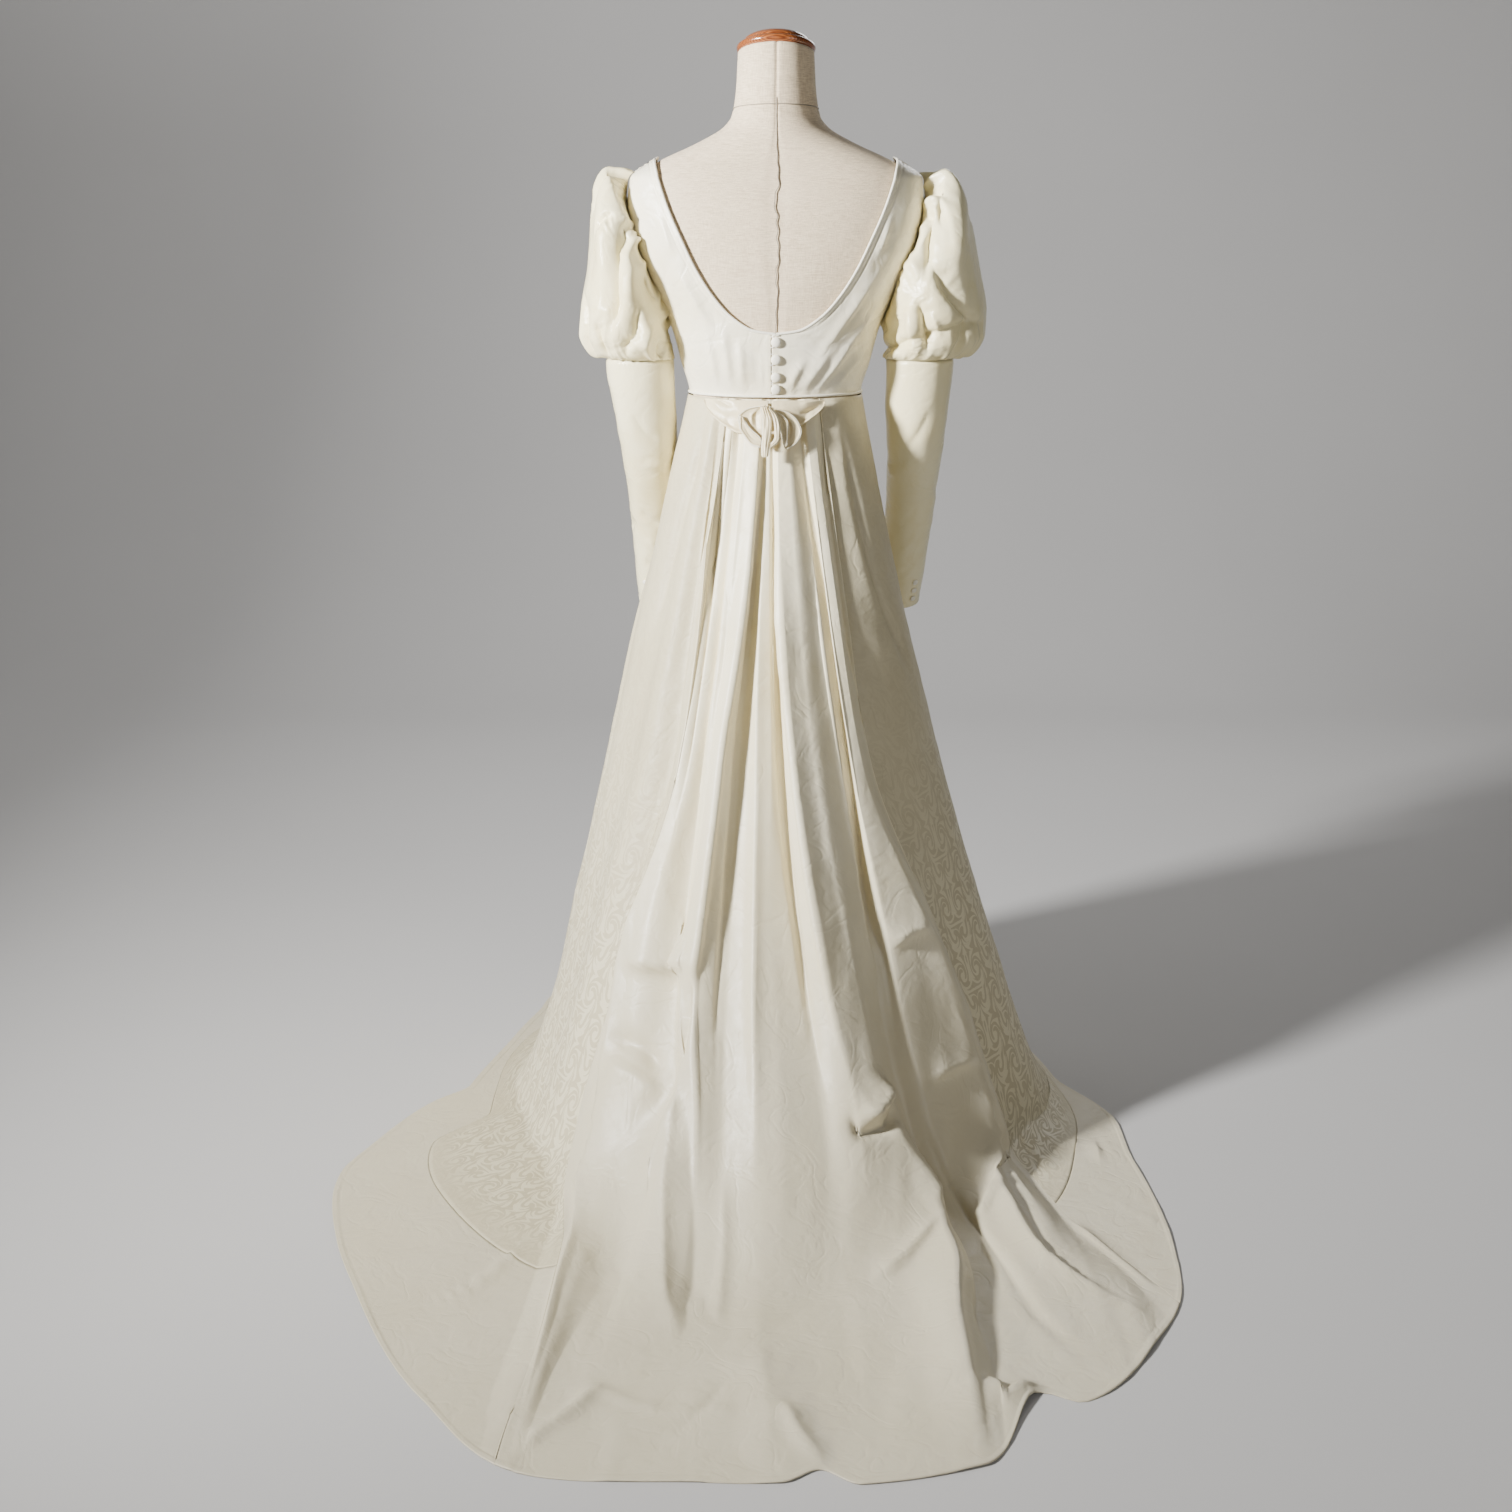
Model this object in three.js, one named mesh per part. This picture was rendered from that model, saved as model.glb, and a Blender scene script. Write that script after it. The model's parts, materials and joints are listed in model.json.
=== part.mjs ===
// An empire-line wedding dress with a train, standing on a limbless dress form.
// Millimetres, +Z up. The origin is the centre of the stand's flat underside, on the floor.
// +X is the wearer's right, +Y the wearer's front, so the back and the train point along -Y.
// Angles go round the body in degrees: 0 is the centre back, 90 the right side, 180 the centre front.
import * as THREE from "three";
import { mergeGeometries, mergeVertices } from "three/addons/utils/BufferGeometryUtils.js";

// ---- Driving dimensions ----
const CLOTH_WALL = 1.5;
const SEAM_GAP = 0.3;
const CLOTH_CLEARANCE = 3.4;
const WAIST_HEIGHT = 1050;
const KNEE_HEIGHT = 450;
const FLOOR_SEAM_GAP = 2.4;
const WING_GAP = 0.8;

const BACK_EDGE_X = -6;
const PLACKET_HALF_GAP = 0.8;
const BUTTON_RADIUS = 6.8;
const BUTTON_DOME = 4.2;
const BUTTON_HEIGHTS = [1127, 1104, 1081, 1064];
const CUFF_BUTTON_RADIUS = 4.5;
const CUFF_BUTTON_DOME = 3.2;
const CORD_RADIUS = 2.0;
const WAIST_CORD_RISE = 4.6;
const NECK_CORD_GAP = 2.0;
const NECK_OPENING_MIDDLE = 1310;

const NECK_TILT = 12.5;
const CAP_RADIUS = 53;
const CAP_HEIGHT = 27;
const NECK_TOP = 1498;
const FORM_BOTTOM = 800;
const POLE_RADIUS = 14;
const BASE_RADIUS = 160;
const BASE_HEIGHT = 22;

// ---- Colours ----
const IVORY_SATIN = { color: 0xf1ebdc, roughness: 0.45, metalness: 0 };
const IVORY_SLEEVE = { color: 0xefe6cf, roughness: 0.45, metalness: 0 };
const IVORY_DAMASK = { color: 0xe2dcca, roughness: 0.5, metalness: 0 };
const FORM_LINEN = { color: 0xd9d0bd, roughness: 0.9, metalness: 0 };
const CAP_WOOD = { color: 0x7a3b1c, roughness: 0.3, metalness: 0 };
const STAND_METAL = { color: 0x3a3835, roughness: 0.45, metalness: 0.6 };

// ---- The torso of the dress form: level sections from the bottom edge to the neck ----
const BODY_SECTIONS = [
  { z: 800, half: 140, back: 92, front: 98, square: 2.05 },
  { z: 850, half: 139, back: 94, front: 100, square: 2.05 },
  { z: 900, half: 134, back: 91, front: 100, square: 2.05 },
  { z: 950, half: 126, back: 87, front: 99, square: 2.05 },
  { z: 1000, half: 118, back: 84, front: 97, square: 2.05 },
  { z: 1050, half: 115, back: 84, front: 96, square: 2.05 },
  { z: 1100, half: 128, back: 91, front: 113, square: 2.25 },
  { z: 1150, half: 142, back: 95, front: 125, square: 2.3 },
  { z: 1200, half: 167, back: 96, front: 122, square: 2.4 },
  { z: 1250, half: 189, back: 94, front: 104, square: 2.5 },
  { z: 1300, half: 197, back: 87, front: 82, square: 2.5 },
  { z: 1336, half: 194, back: 75, front: 60, square: 2.5 },
  { z: 1348, half: 180, back: 70, front: 56, square: 2.5 },
  { z: 1362, half: 155, back: 64, front: 52, square: 2.4 },
  { z: 1386, half: 102, back: 58, front: 50, square: 2.2 },
  { z: 1404, half: 71, back: 54, front: 50, square: 2.0 },
  { z: 1418, half: 60, back: 52, front: 51, square: 2.0 },
  { z: 1450, half: 54, back: 52, front: 52, square: 2.0 },
  { z: 1498, half: 51, back: 51, front: 51, square: 2.0 },
];

// ---- The skirt's plan: where the cloth lands and where its hem lies, by direction from the stand ----
// flare is the power of the fall: 1 drops straight to the floor, 2 sweeps out along it.
const SKIRT_PLAN = [
  { angle: -180, land: 355, hem: 395, flare: 1.25 },
  { angle: -150, land: 375, hem: 440, flare: 1.3 },
  { angle: -132, land: 390, hem: 495, flare: 1.35 },
  { angle: -122, land: 392, hem: 464, flare: 1.4 },
  { angle: -105, land: 395, hem: 445, flare: 1.45 },
  { angle: -86, land: 398, hem: 468, flare: 1.5 },
  { angle: -80, land: 396, hem: 527, flare: 1.55 },
  { angle: -70, land: 400, hem: 612, flare: 1.65 },
  { angle: -63, land: 408, hem: 683, flare: 1.72 },
  { angle: -50, land: 430, hem: 753, flare: 1.85 },
  { angle: -41, land: 480, hem: 804, flare: 1.93 },
  { angle: -26, land: 580, hem: 926, flare: 2 },
  { angle: -16, land: 645, hem: 1003, flare: 2 },
  { angle: -5, land: 665, hem: 981, flare: 2 },
  { angle: 0, land: 665, hem: 979, flare: 2 },
  { angle: 2.5, land: 660, hem: 958, flare: 2 },
  { angle: 5, land: 655, hem: 985, flare: 2 },
  { angle: 13, land: 625, hem: 975, flare: 2 },
  { angle: 20, land: 580, hem: 872, flare: 2 },
  { angle: 22.5, land: 560, hem: 905, flare: 2 },
  { angle: 33, land: 505, hem: 842, flare: 1.98 },
  { angle: 38, land: 480, hem: 806, flare: 1.95 },
  { angle: 46, land: 445, hem: 719, flare: 1.88 },
  { angle: 55, land: 420, hem: 631, flare: 1.8 },
  { angle: 64, land: 410, hem: 564, flare: 1.62 },
  { angle: 75, land: 422, hem: 521, flare: 1.45 },
  { angle: 90, land: 424, hem: 436, flare: 1.3 },
  { angle: 110, land: 405, hem: 420, flare: 1.3 },
  { angle: 145, land: 370, hem: 410, flare: 1.3 },
  { angle: 180, land: 355, hem: 395, flare: 1.25 },
];
const WAIST_SECTION = { half: 121, back: 92, front: 103 };
const KNEE_SECTION = { half: 250, back: 256, front: 240 };

// ---- The skirt's folds, one row each, from the centre front round by the left side and the back ----
// Stations run from the waist (0) to where the cloth meets the floor (1) and on to the hem (2).
// at: the fold's direction at each station; out: how far it stands out from the fall, there.
const FOLD_STATIONS = [0, 0.12, 0.27, 0.45, 0.65, 0.85, 1.05, 1.45, 2];
const FOLDS = [
  {
    name: "centre_front",
    at: [-180, -180, -180, -180, -180, -180, -180, -180, -180],
    out: [0, 2, 3, 4, 5, 4, 2, 1, 0],
  },
  {
    name: "front_flute_left",
    at: [-155, -155, -155, -155, -155, -155, -155, -155, -155],
    out: [0, 3, 8, 13, 16, 14, 8, 4, 0],
  },
  {
    name: "front_hollow_left",
    at: [-128, -129, -130, -131, -132, -132, -132, -132, -132],
    out: [0, -1, -3, -4, -5, -3, 0, 0, 0],
  },
  {
    name: "side_seam_left",
    at: [-105, -106, -107, -110, -114, -116, -117, -117, -117],
    out: [0, 3, 6, 8, 7, 5, 2, 0, 0],
  },
  {
    name: "gore_flute_left",
    at: [-84, -87, -90, -92, -92, -90, -88, -86, -86],
    out: [1, 6, 10, 10, 8, 6, 4, 2, 0],
  },
  {
    name: "gore_hollow_left",
    at: [-50, -60, -66, -70, -72, -70, -68, -66, -64],
    out: [-1, -3, -5, -4, -2, 0, 0, 0, 0],
  },
  {
    name: "gore_seam_left",
    at: [-42, -48, -52, -57, -60, -58, -52, -48, -44],
    out: [2, 5, 6, 6, 5, 4, 5, 5, 2],
  },
  {
    name: "gore_tuck_left",
    at: [-37, -40, -41, -47, -49, -44, -34, -26, -21],
    out: [-1, -7, -9, -8, -5, -1, 0, 0, 0],
  },
  {
    name: "back_edge_left",
    at: [-32, -34, -35.5, -43, -44.5, -39, -28.5, -21.6, -18],
    out: [3, 5, 8, 13, 16, 17, 15, 11, 2],
  },
  {
    name: "back_crest_left",
    at: [-27, -30, -32, -37, -36, -31, -25, -20.4, -17],
    out: [4, 6, 9, 13, 15, 16, 13, 8, 2],
  },
  {
    name: "back_valley_left",
    at: [-23, -25, -28, -27, -21.5, -20, -19, -18.4, -15.8],
    out: [-3, -6, -9, -10, -7, 0, 0, 0, 0],
  },
  {
    name: "pleat_slope_left",
    at: [-18, -20.5, -23.7, -23.4, -18.8, -17, -16, -15, -13.5],
    out: [3, 7, 10, 13, 8, 5, 4, 3, 1],
  },
  {
    name: "pleat_edge_left",
    at: [-9, -13.5, -19.5, -20, -15, -12, -11, -10, -9],
    out: [5, 11, 18, 20, 9, 5, 3, 1, 0],
  },
  {
    name: "box_wall_left",
    at: [-6.5, -10.2, -14, -13, -10, -8, -8, -7, -6],
    out: [-1, -7, -11, -9, -5, -2, 0, 0, 0],
  },
  {
    name: "box_strip",
    at: [-4, -3.8, -2, -2.5, -2, -2, -2, -2, -2],
    out: [0, -3, -4, -3, 3, 5, 4, 1, 1],
  },
  {
    name: "box_wall_right",
    at: [-2, -1, 1.8, 6.5, 9, 6.5, 4, 3, 2.4],
    out: [-1, -8, -12, -9, -3, 0, 0, 0, 0],
  },
  {
    name: "pleat_edge_right",
    at: [0.5, 2, 6, 11.5, 15, 13, 10, 8, 6],
    out: [4, 10, 16, 18, 16, 6, 3, 2, 1],
  },
  {
    name: "pleat_crest_right",
    at: [7, 10, 14, 19.5, 22, 25.5, 24, 18, 13],
    out: [5, 8, 11, 13, 16, 22, 21, 15, 3],
  },
  {
    name: "back_valley_right",
    at: [14.5, 19.8, 24.6, 28, 28, 29, 27.5, 21.8, 16],
    out: [-3, -7, -10, -10, -8, -2, 0, 0, 0],
  },
  {
    name: "back_lip_right",
    at: [18, 23, 27.5, 32, 33, 33, 31, 28.5, 26],
    out: [4, 7, 9, 9, 8, 9, 9, 9, 2],
  },
  {
    name: "back_edge_right",
    at: [23, 28, 32, 49, 56, 54.5, 45.5, 34.8, 33],
    out: [4, 7, 8, 14, 19, 22, 20, 16, 3],
  },
  {
    name: "gore_tuck_right",
    at: [29, 33, 38, 54, 60.5, 60, 52, 42, 38],
    out: [0, -2, -8, -12, -11, -3, 0, 0, 0],
  },
  {
    name: "gore_flute_right",
    at: [41, 52, 75, 84, 84, 79, 67, 58, 52],
    out: [4, 7, 10, 15, 19, 14, 6, 1, 0],
  },
  {
    name: "side_seam_right",
    at: [100, 101, 103, 105, 107, 108, 108, 108, 108],
    out: [0, 2, 4, 4, 3, 2, 1, 0, 0],
  },
  {
    name: "front_hollow_right",
    at: [130, 131, 132, 133, 134, 134, 134, 134, 134],
    out: [0, -1, -3, -4, -5, -3, 0, 0, 0],
  },
  {
    name: "front_flute_right",
    at: [155, 155, 155, 155, 155, 155, 155, 155, 155],
    out: [0, 3, 8, 13, 16, 14, 8, 4, 0],
  },
  {
    name: "centre_front_end",
    at: [180, 180, 180, 180, 180, 180, 180, 180, 180],
    out: [0, 2, 3, 4, 5, 4, 2, 1, 0],
  },
];

// ---- Where the damask gores end on the floor, by direction ----
const DAMASK_HEM = [
  { angle: -132, radius: 430 },
  { angle: -117, radius: 424 },
  { angle: -90, radius: 424 },
  { angle: -74, radius: 440 },
  { angle: -66, radius: 540 },
  { angle: -50, radius: 590 },
  { angle: -20, radius: 640 },
  { angle: 38, radius: 560 },
  { angle: 62, radius: 490 },
  { angle: 70, radius: 474 },
  { angle: 90, radius: 430 },
  { angle: 108, radius: 414 },
];

// ---- The bodice panels: each row joins the neck edge to the armhole or side edge ----
const BACK_ROWS = [
  { neckZ: 1361, neckX: 163, edgeZ: 1343, edgeX: 210 },
  { neckZ: 1335, neckX: 156, edgeZ: 1318, edgeX: 201 },
  { neckZ: 1298, neckX: 143, edgeZ: 1285, edgeX: 192 },
  { neckZ: 1258, neckX: 125, edgeZ: 1250, edgeX: 183 },
  { neckZ: 1220, neckX: 106, edgeZ: 1215, edgeX: 167 },
  { neckZ: 1185, neckX: 83, edgeZ: 1180, edgeX: 152 },
  { neckZ: 1160, neckX: 60, edgeZ: 1152, edgeX: 150 },
  { neckZ: 1143, neckX: 34, edgeZ: 1128, edgeX: 150 },
  { neckZ: 1135, neckX: 6, edgeZ: 1104, edgeX: 150 },
  { neckZ: 1098, neckX: 6, edgeZ: 1080, edgeX: 150 },
  { neckZ: 1053, neckX: 6, edgeZ: 1053, edgeX: 150 },
];
const FRONT_ROWS = [
  { neckZ: 1361, neckX: 163, edgeZ: 1343, edgeX: 210 },
  { neckZ: 1333, neckX: 152, edgeZ: 1318, edgeX: 198 },
  { neckZ: 1304, neckX: 138, edgeZ: 1285, edgeX: 188 },
  { neckZ: 1276, neckX: 120, edgeZ: 1250, edgeX: 177 },
  { neckZ: 1250, neckX: 96, edgeZ: 1215, edgeX: 163 },
  { neckZ: 1228, neckX: 66, edgeZ: 1180, edgeX: 151 },
  { neckZ: 1213, neckX: 34, edgeZ: 1152, edgeX: 150 },
  { neckZ: 1208, neckX: 0, edgeZ: 1128, edgeX: 150 },
  { neckZ: 1160, neckX: 0, edgeZ: 1104, edgeX: 150 },
  { neckZ: 1105, neckX: 0, edgeZ: 1080, edgeX: 150 },
  { neckZ: 1053, neckX: 0, edgeZ: 1053, edgeX: 150 },
];
const UNDERARM_ROW = 6;
const SIDE_SEAM_ANGLE = 89.4;

// ---- The puffed sleeve heads: rings from the armhole to the elbow seam ----
// top and under are the ring's highest and lowest points, deep its half depth along Y,
// gather the height of its small gathers and fold that of its large soft folds.
const PUFF_RINGS = [
  {
    station: 0, topRight: 210, underRight: 146, topLeft: 210, underLeft: 146,
    topZ: 1343, underZ: 1150, deep: 55, gather: 0, fold: 0,
  },
  {
    station: 0.1, topRight: 232, underRight: 150, topLeft: 229, underLeft: 149,
    topZ: 1350, underZ: 1144, deep: 66, gather: 4, fold: 0,
  },
  {
    station: 0.25, topRight: 256, underRight: 151, topLeft: 248, underLeft: 149,
    topZ: 1323, underZ: 1136, deep: 77, gather: 4.5, fold: 2,
  },
  {
    station: 0.42, topRight: 268, underRight: 150, topLeft: 253, underLeft: 147,
    topZ: 1274, underZ: 1128, deep: 83, gather: 3, fold: 4,
  },
  {
    station: 0.6, topRight: 280, underRight: 149, topLeft: 260, underLeft: 145,
    topZ: 1215, underZ: 1119, deep: 85, gather: 2, fold: 6,
  },
  {
    station: 0.76, topRight: 290, underRight: 148, topLeft: 269, underLeft: 143,
    topZ: 1163, underZ: 1111, deep: 82, gather: 3, fold: 6,
  },
  {
    station: 0.88, topRight: 289, underRight: 147, topLeft: 270, underLeft: 142,
    topZ: 1132, underZ: 1104, deep: 75, gather: 4.5, fold: 4,
  },
  {
    station: 0.95, topRight: 273, underRight: 149, topLeft: 257, underLeft: 141,
    topZ: 1108, underZ: 1099, deep: 62, gather: 4, fold: 1,
  },
  {
    station: 1, topRight: 251, underRight: 152, topLeft: 236, underLeft: 141,
    topZ: 1099, underZ: 1098, deep: 50, gather: 0, fold: 0,
  },
];
const ARMHOLE_GAP = 2.4;
const PUFF_GATHERS = 12;
const PUFF_FOLDS = 5;

// ---- The fitted lower sleeves: rings from the elbow seam to the cuff ----
const SLEEVE_RINGS = [
  { z: 1095.5, right: 201.5, left: 188.5, y: 0, radius: 47.5 },
  { z: 1070, right: 201, left: 187.5, y: 2, radius: 46.5 },
  { z: 1030, right: 200, left: 184, y: 9, radius: 44.5 },
  { z: 985, right: 200, left: 180, y: 26, radius: 41 },
  { z: 940, right: 200, left: 178, y: 52, radius: 38 },
  { z: 890, right: 200, left: 177, y: 84, radius: 36 },
  { z: 830, right: 198, left: 177, y: 118, radius: 34 },
  { z: 770, right: 196, left: 177, y: 148, radius: 31.5 },
  { z: 722, right: 193, left: 176, y: 170, radius: 29.5 },
];

// ---- Interpolation ----
// A smooth curve through a table's column that never swings past its rows.
function smoothColumn(keys, values, key) {
  const last = keys.length - 1;
  if (key <= keys[0]) return values[0];
  if (key >= keys[last]) return values[last];
  let i = 0;
  while (key > keys[i + 1]) i += 1;
  const slope = (k) => (values[k + 1] - values[k]) / (keys[k + 1] - keys[k]);
  const tangent = (k) => {
    if (k === 0) return slope(0);
    if (k === last) return slope(last - 1);
    const before = slope(k - 1);
    const after = slope(k);
    return before * after <= 0 ? 0 : (2 * before * after) / (before + after);
  };
  const span = keys[i + 1] - keys[i];
  const f = (key - keys[i]) / span;
  const stay = (1 + 2 * f) * (1 - f) * (1 - f);
  const leave = f * (1 - f) * (1 - f) * span;
  const arrive = f * f * (f - 1) * span;
  return stay * values[i] + leave * tangent(i) + (1 - stay) * values[i + 1] + arrive * tangent(i + 1);
}

// Reads a table's columns once, and returns a function that gives them all at any key.
function tableReader(rows, keyName) {
  const keys = rows.map((row) => row[keyName]);
  const names = Object.keys(rows[0]).filter((name) => name !== keyName);
  const columns = names.map((name) => rows.map((row) => row[name]));
  return (key) => Object.fromEntries(names.map((name, c) => [name, smoothColumn(keys, columns[c], key)]));
}

const numbered = (rows) => rows.map((row, index) => ({ index, ...row }));
const radians = THREE.MathUtils.degToRad;
const steps = (count, first, last) =>
  Array.from({ length: count + 1 }, (_, i) => first + ((last - first) * i) / count);

const bodySection = tableReader(BODY_SECTIONS, "z");
const skirtPlan = tableReader(SKIRT_PLAN, "angle");
const damaskHem = tableReader(DAMASK_HEM, "angle");
const backRow = tableReader(numbered(BACK_ROWS), "index");
const frontRow = tableReader(numbered(FRONT_ROWS), "index");
const puffRing = tableReader(PUFF_RINGS, "station");
const sleeveRing = tableReader(SLEEVE_RINGS.toReversed(), "z");

// ---- Bodies ----
// Faces of one grid of points: rows run down the piece, columns run round it from left to right.
function gridFaces(index, start, rows, columns, wrap, flipped) {
  const spans = wrap ? columns : columns - 1;
  for (let i = 0; i < rows - 1; i += 1) {
    for (let j = 0; j < spans; j += 1) {
      const k = (j + 1) % columns;
      const a = start + i * columns + j;
      const b = start + (i + 1) * columns + j;
      const c = start + (i + 1) * columns + k;
      const d = start + i * columns + k;
      if (flipped) index.push(a, c, b, a, d, c);
      else index.push(a, b, c, a, c, d);
    }
  }
}

function geometryOf(points, index) {
  const geometry = new THREE.BufferGeometry();
  const numbers = points.flatMap((p) => [p.x, p.y, p.z]);
  geometry.setAttribute("position", new THREE.Float32BufferAttribute(numbers, 3));
  geometry.setIndex(index);
  geometry.computeVertexNormals();
  return geometry;
}

// A cloth wall between an outer and an inner grid. joinedFrom is the row from which the first
// column carries no rim, because another wall continues there.
function wallGeometry(outer, inner, { wrap = false, joinedFrom = Infinity } = {}) {
  const rows = outer.length;
  const columns = outer[0].length;
  const second = rows * columns;
  const index = [];
  gridFaces(index, 0, rows, columns, wrap, false);
  gridFaces(index, second, rows, columns, wrap, true);
  const rim = (a, b) => index.push(a, b, second + b, a, second + b, second + a);
  const spans = wrap ? columns : columns - 1;
  const bottom = (rows - 1) * columns;
  for (let j = 0; j < spans; j += 1) {
    const k = (j + 1) % columns;
    rim(j, k);
    rim(bottom + k, bottom + j);
  }
  for (let i = 0; !wrap && i < rows - 1; i += 1) {
    if (i < joinedFrom) rim((i + 1) * columns, i * columns);
    rim(i * columns + columns - 1, (i + 1) * columns + columns - 1);
  }
  return geometryOf([...outer.flat(), ...inner.flat()], index);
}

// Outward unit normals of a grid, from its neighbours.
function gridNormals(grid, wrap) {
  const rows = grid.length;
  const columns = grid[0].length;
  const column = (j) => (wrap ? (j + columns) % columns : THREE.MathUtils.clamp(j, 0, columns - 1));
  return grid.map((row, i) =>
    row.map((_, j) => {
      const down = grid[Math.min(i + 1, rows - 1)][j].clone().sub(grid[Math.max(i - 1, 0)][j]);
      const across = row[column(j + 1)].clone().sub(row[column(j - 1)]);
      return down.cross(across).normalize();
    }),
  );
}

function movedGrid(grid, distance, wrap = false) {
  const normals = gridNormals(grid, wrap);
  return grid.map((row, i) => row.map((p, j) => p.clone().addScaledVector(normals[i][j], distance)));
}

// The wall of a grid, as thick as the cloth, on the inner side of its points.
function clothWall(grid, options = {}) {
  return wallGeometry(grid, movedGrid(grid, -CLOTH_WALL, options.wrap), options);
}

function mirrored(grid) {
  return grid.map((row) => row.map((p) => new THREE.Vector3(-p.x, p.y, p.z)).reverse());
}

// A solid through closed rings, with both ends filled to their middle points.
function loftGeometry(rings) {
  const columns = rings[0].length;
  const index = [];
  gridFaces(index, 0, rings.length, columns, true, false);
  const middle = (ring) => ring.reduce((sum, p) => sum.add(p), new THREE.Vector3()).divideScalar(columns);
  const top = rings.length * columns;
  const bottom = (rings.length - 1) * columns;
  for (let j = 0; j < columns; j += 1) {
    const k = (j + 1) % columns;
    index.push(top, j, k);
    index.push(top + 1, bottom + k, bottom + j);
  }
  return geometryOf([...rings.flat(), middle(rings[0]), middle(rings.at(-1))], index);
}

// A round cord along a closed or open run of points.
function cordGeometry(points, closed, radius, sides, turns) {
  const path = new THREE.CatmullRomCurve3(points, closed, "centripetal");
  const circle = new THREE.Shape().absarc(0, 0, radius, 0, 2 * Math.PI);
  const section = new THREE.Shape(circle.getPoints(sides).slice(0, sides));
  return new THREE.ExtrudeGeometry(section, { steps: turns, extrudePath: path, bevelEnabled: false });
}

// ---- The torso surface ----
// The point of the torso at a height and direction, moved out by a distance.
function sectionPoint(z, angle) {
  const section = bodySection(z);
  const power = 2 / section.square;
  const sine = Math.sin(radians(angle));
  const cosine = Math.cos(radians(angle));
  const depth = cosine > 0 ? section.back : section.front;
  const x = section.half * Math.sign(sine) * Math.abs(sine) ** power;
  const y = -depth * Math.sign(cosine) * Math.abs(cosine) ** power;
  return new THREE.Vector3(x, y, z);
}

function bodyPoint(z, angle, distance) {
  const down = sectionPoint(z - 1, angle).sub(sectionPoint(z + 1, angle));
  const across = sectionPoint(z, angle + 0.5).sub(sectionPoint(z, angle - 0.5));
  return sectionPoint(z, angle).addScaledVector(down.cross(across).normalize(), distance);
}

// The direction at which the torso's section at a height reaches a given distance from its middle.
function angleAtX(z, x) {
  const section = bodySection(z);
  const sine = Math.min(1, (Math.abs(x) / section.half) ** (section.square / 2));
  return Math.min(SIDE_SEAM_ANGLE, THREE.MathUtils.radToDeg(Math.asin(sine))) * Math.sign(x || 1);
}

// ---- The bodice ----
const OUTER_OFFSET = CLOTH_CLEARANCE + CLOTH_WALL;

// A row of a bodice panel: its neck edge and its armhole or side edge, as height and direction.
function panelEdges(row, reader, front) {
  const r = reader(row);
  const neck = angleAtX(r.neckZ, Math.max(r.neckX, 0));
  const edge = angleAtX(r.edgeZ, r.edgeX);
  const turned = (angle) => (front ? 180 - angle : angle);
  const neckAngle = r.neckX === 0 ? 0 : neck;
  return { neckZ: r.neckZ, neckAngle: turned(neckAngle), edgeZ: r.edgeZ, edgeAngle: turned(edge) };
}

// The right half of the back or the front, from the neck edge to the side.
function panelGrid(rows, columns, reader, front, distance) {
  return rows.map((row) => {
    const e = panelEdges(row, reader, front);
    const line = steps(columns, 0, 1).map((f) => {
      const z = e.neckZ + (e.edgeZ - e.neckZ) * f;
      const angle = e.neckAngle + (e.edgeAngle - e.neckAngle) * f;
      return bodyPoint(z, angle, distance);
    });
    return front ? line.reverse() : line;
  });
}

// The closing's edge stands at its own distance from the middle, so the rows are pulled to it.
function pulledToClosing(grid, edgeX) {
  return grid.map((row, i) =>
    row.map((p, j) => {
      if (i < BACK_CLOSING_LINE) return p;
      const share = 1 - j / (row.length - 1);
      return new THREE.Vector3(p.x + (edgeX - row[0].x) * share * share, p.y, p.z);
    }),
  );
}

const PANEL_ROWS = [0, 0.3, 0.65, 1, 1.5, 2, 3, 4, 5, 6, 7, 8, 9, 10];
const BACK_CLOSING_LINE = PANEL_ROWS.indexOf(8);
const FRONT_CLOSING_LINE = PANEL_ROWS.indexOf(7);
const PANEL_COLUMNS = 8;

function backPanel(side) {
  const edgeX = side > 0 ? BACK_EDGE_X + PLACKET_HALF_GAP : -BACK_EDGE_X + PLACKET_HALF_GAP;
  const grids = [OUTER_OFFSET, CLOTH_CLEARANCE].map((distance) => {
    const grid = panelGrid(PANEL_ROWS, PANEL_COLUMNS, backRow, false, distance);
    return pulledToClosing(grid, edgeX);
  });
  const [outer, inner] = side > 0 ? grids : grids.map(mirrored);
  return wallGeometry(outer, inner);
}

function frontPanel() {
  const [outer, inner] = [OUTER_OFFSET, CLOTH_CLEARANCE].map((distance) =>
    panelGrid(PANEL_ROWS, PANEL_COLUMNS, frontRow, true, distance),
  );
  const joinedFrom = FRONT_CLOSING_LINE;
  // Seen from the front the left half's first column is the middle, so the right half is its mirror image.
  const left = wallGeometry(mirrored(outer), mirrored(inner), { joinedFrom });
  const right = mirroredGeometry(left);
  return mergeVertices(mergeGeometries([left, right].map(positionsOnly)), 1e-3);
}

function positionsOnly(geometry) {
  const plain = geometry.clone();
  plain.deleteAttribute("normal");
  plain.deleteAttribute("uv");
  return plain;
}

function mirroredGeometry(geometry) {
  const copy = geometry.clone().applyMatrix4(new THREE.Matrix4().makeScale(-1, 1, 1));
  const index = copy.getIndex();
  for (let i = 0; i < index.count; i += 3) {
    const second = index.getX(i + 1);
    index.setX(i + 1, index.getX(i + 2));
    index.setX(i + 2, second);
  }
  return copy;
}

// ---- The skirt ----
const foldAngles = FOLDS.map((fold) => (station) => smoothColumn(FOLD_STATIONS, fold.at, station));
const foldHeights = FOLDS.map((fold) => (station) => smoothColumn(FOLD_STATIONS, fold.out, station));
const foldNumber = (name) => FOLDS.findIndex((fold) => fold.name === name);

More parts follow.
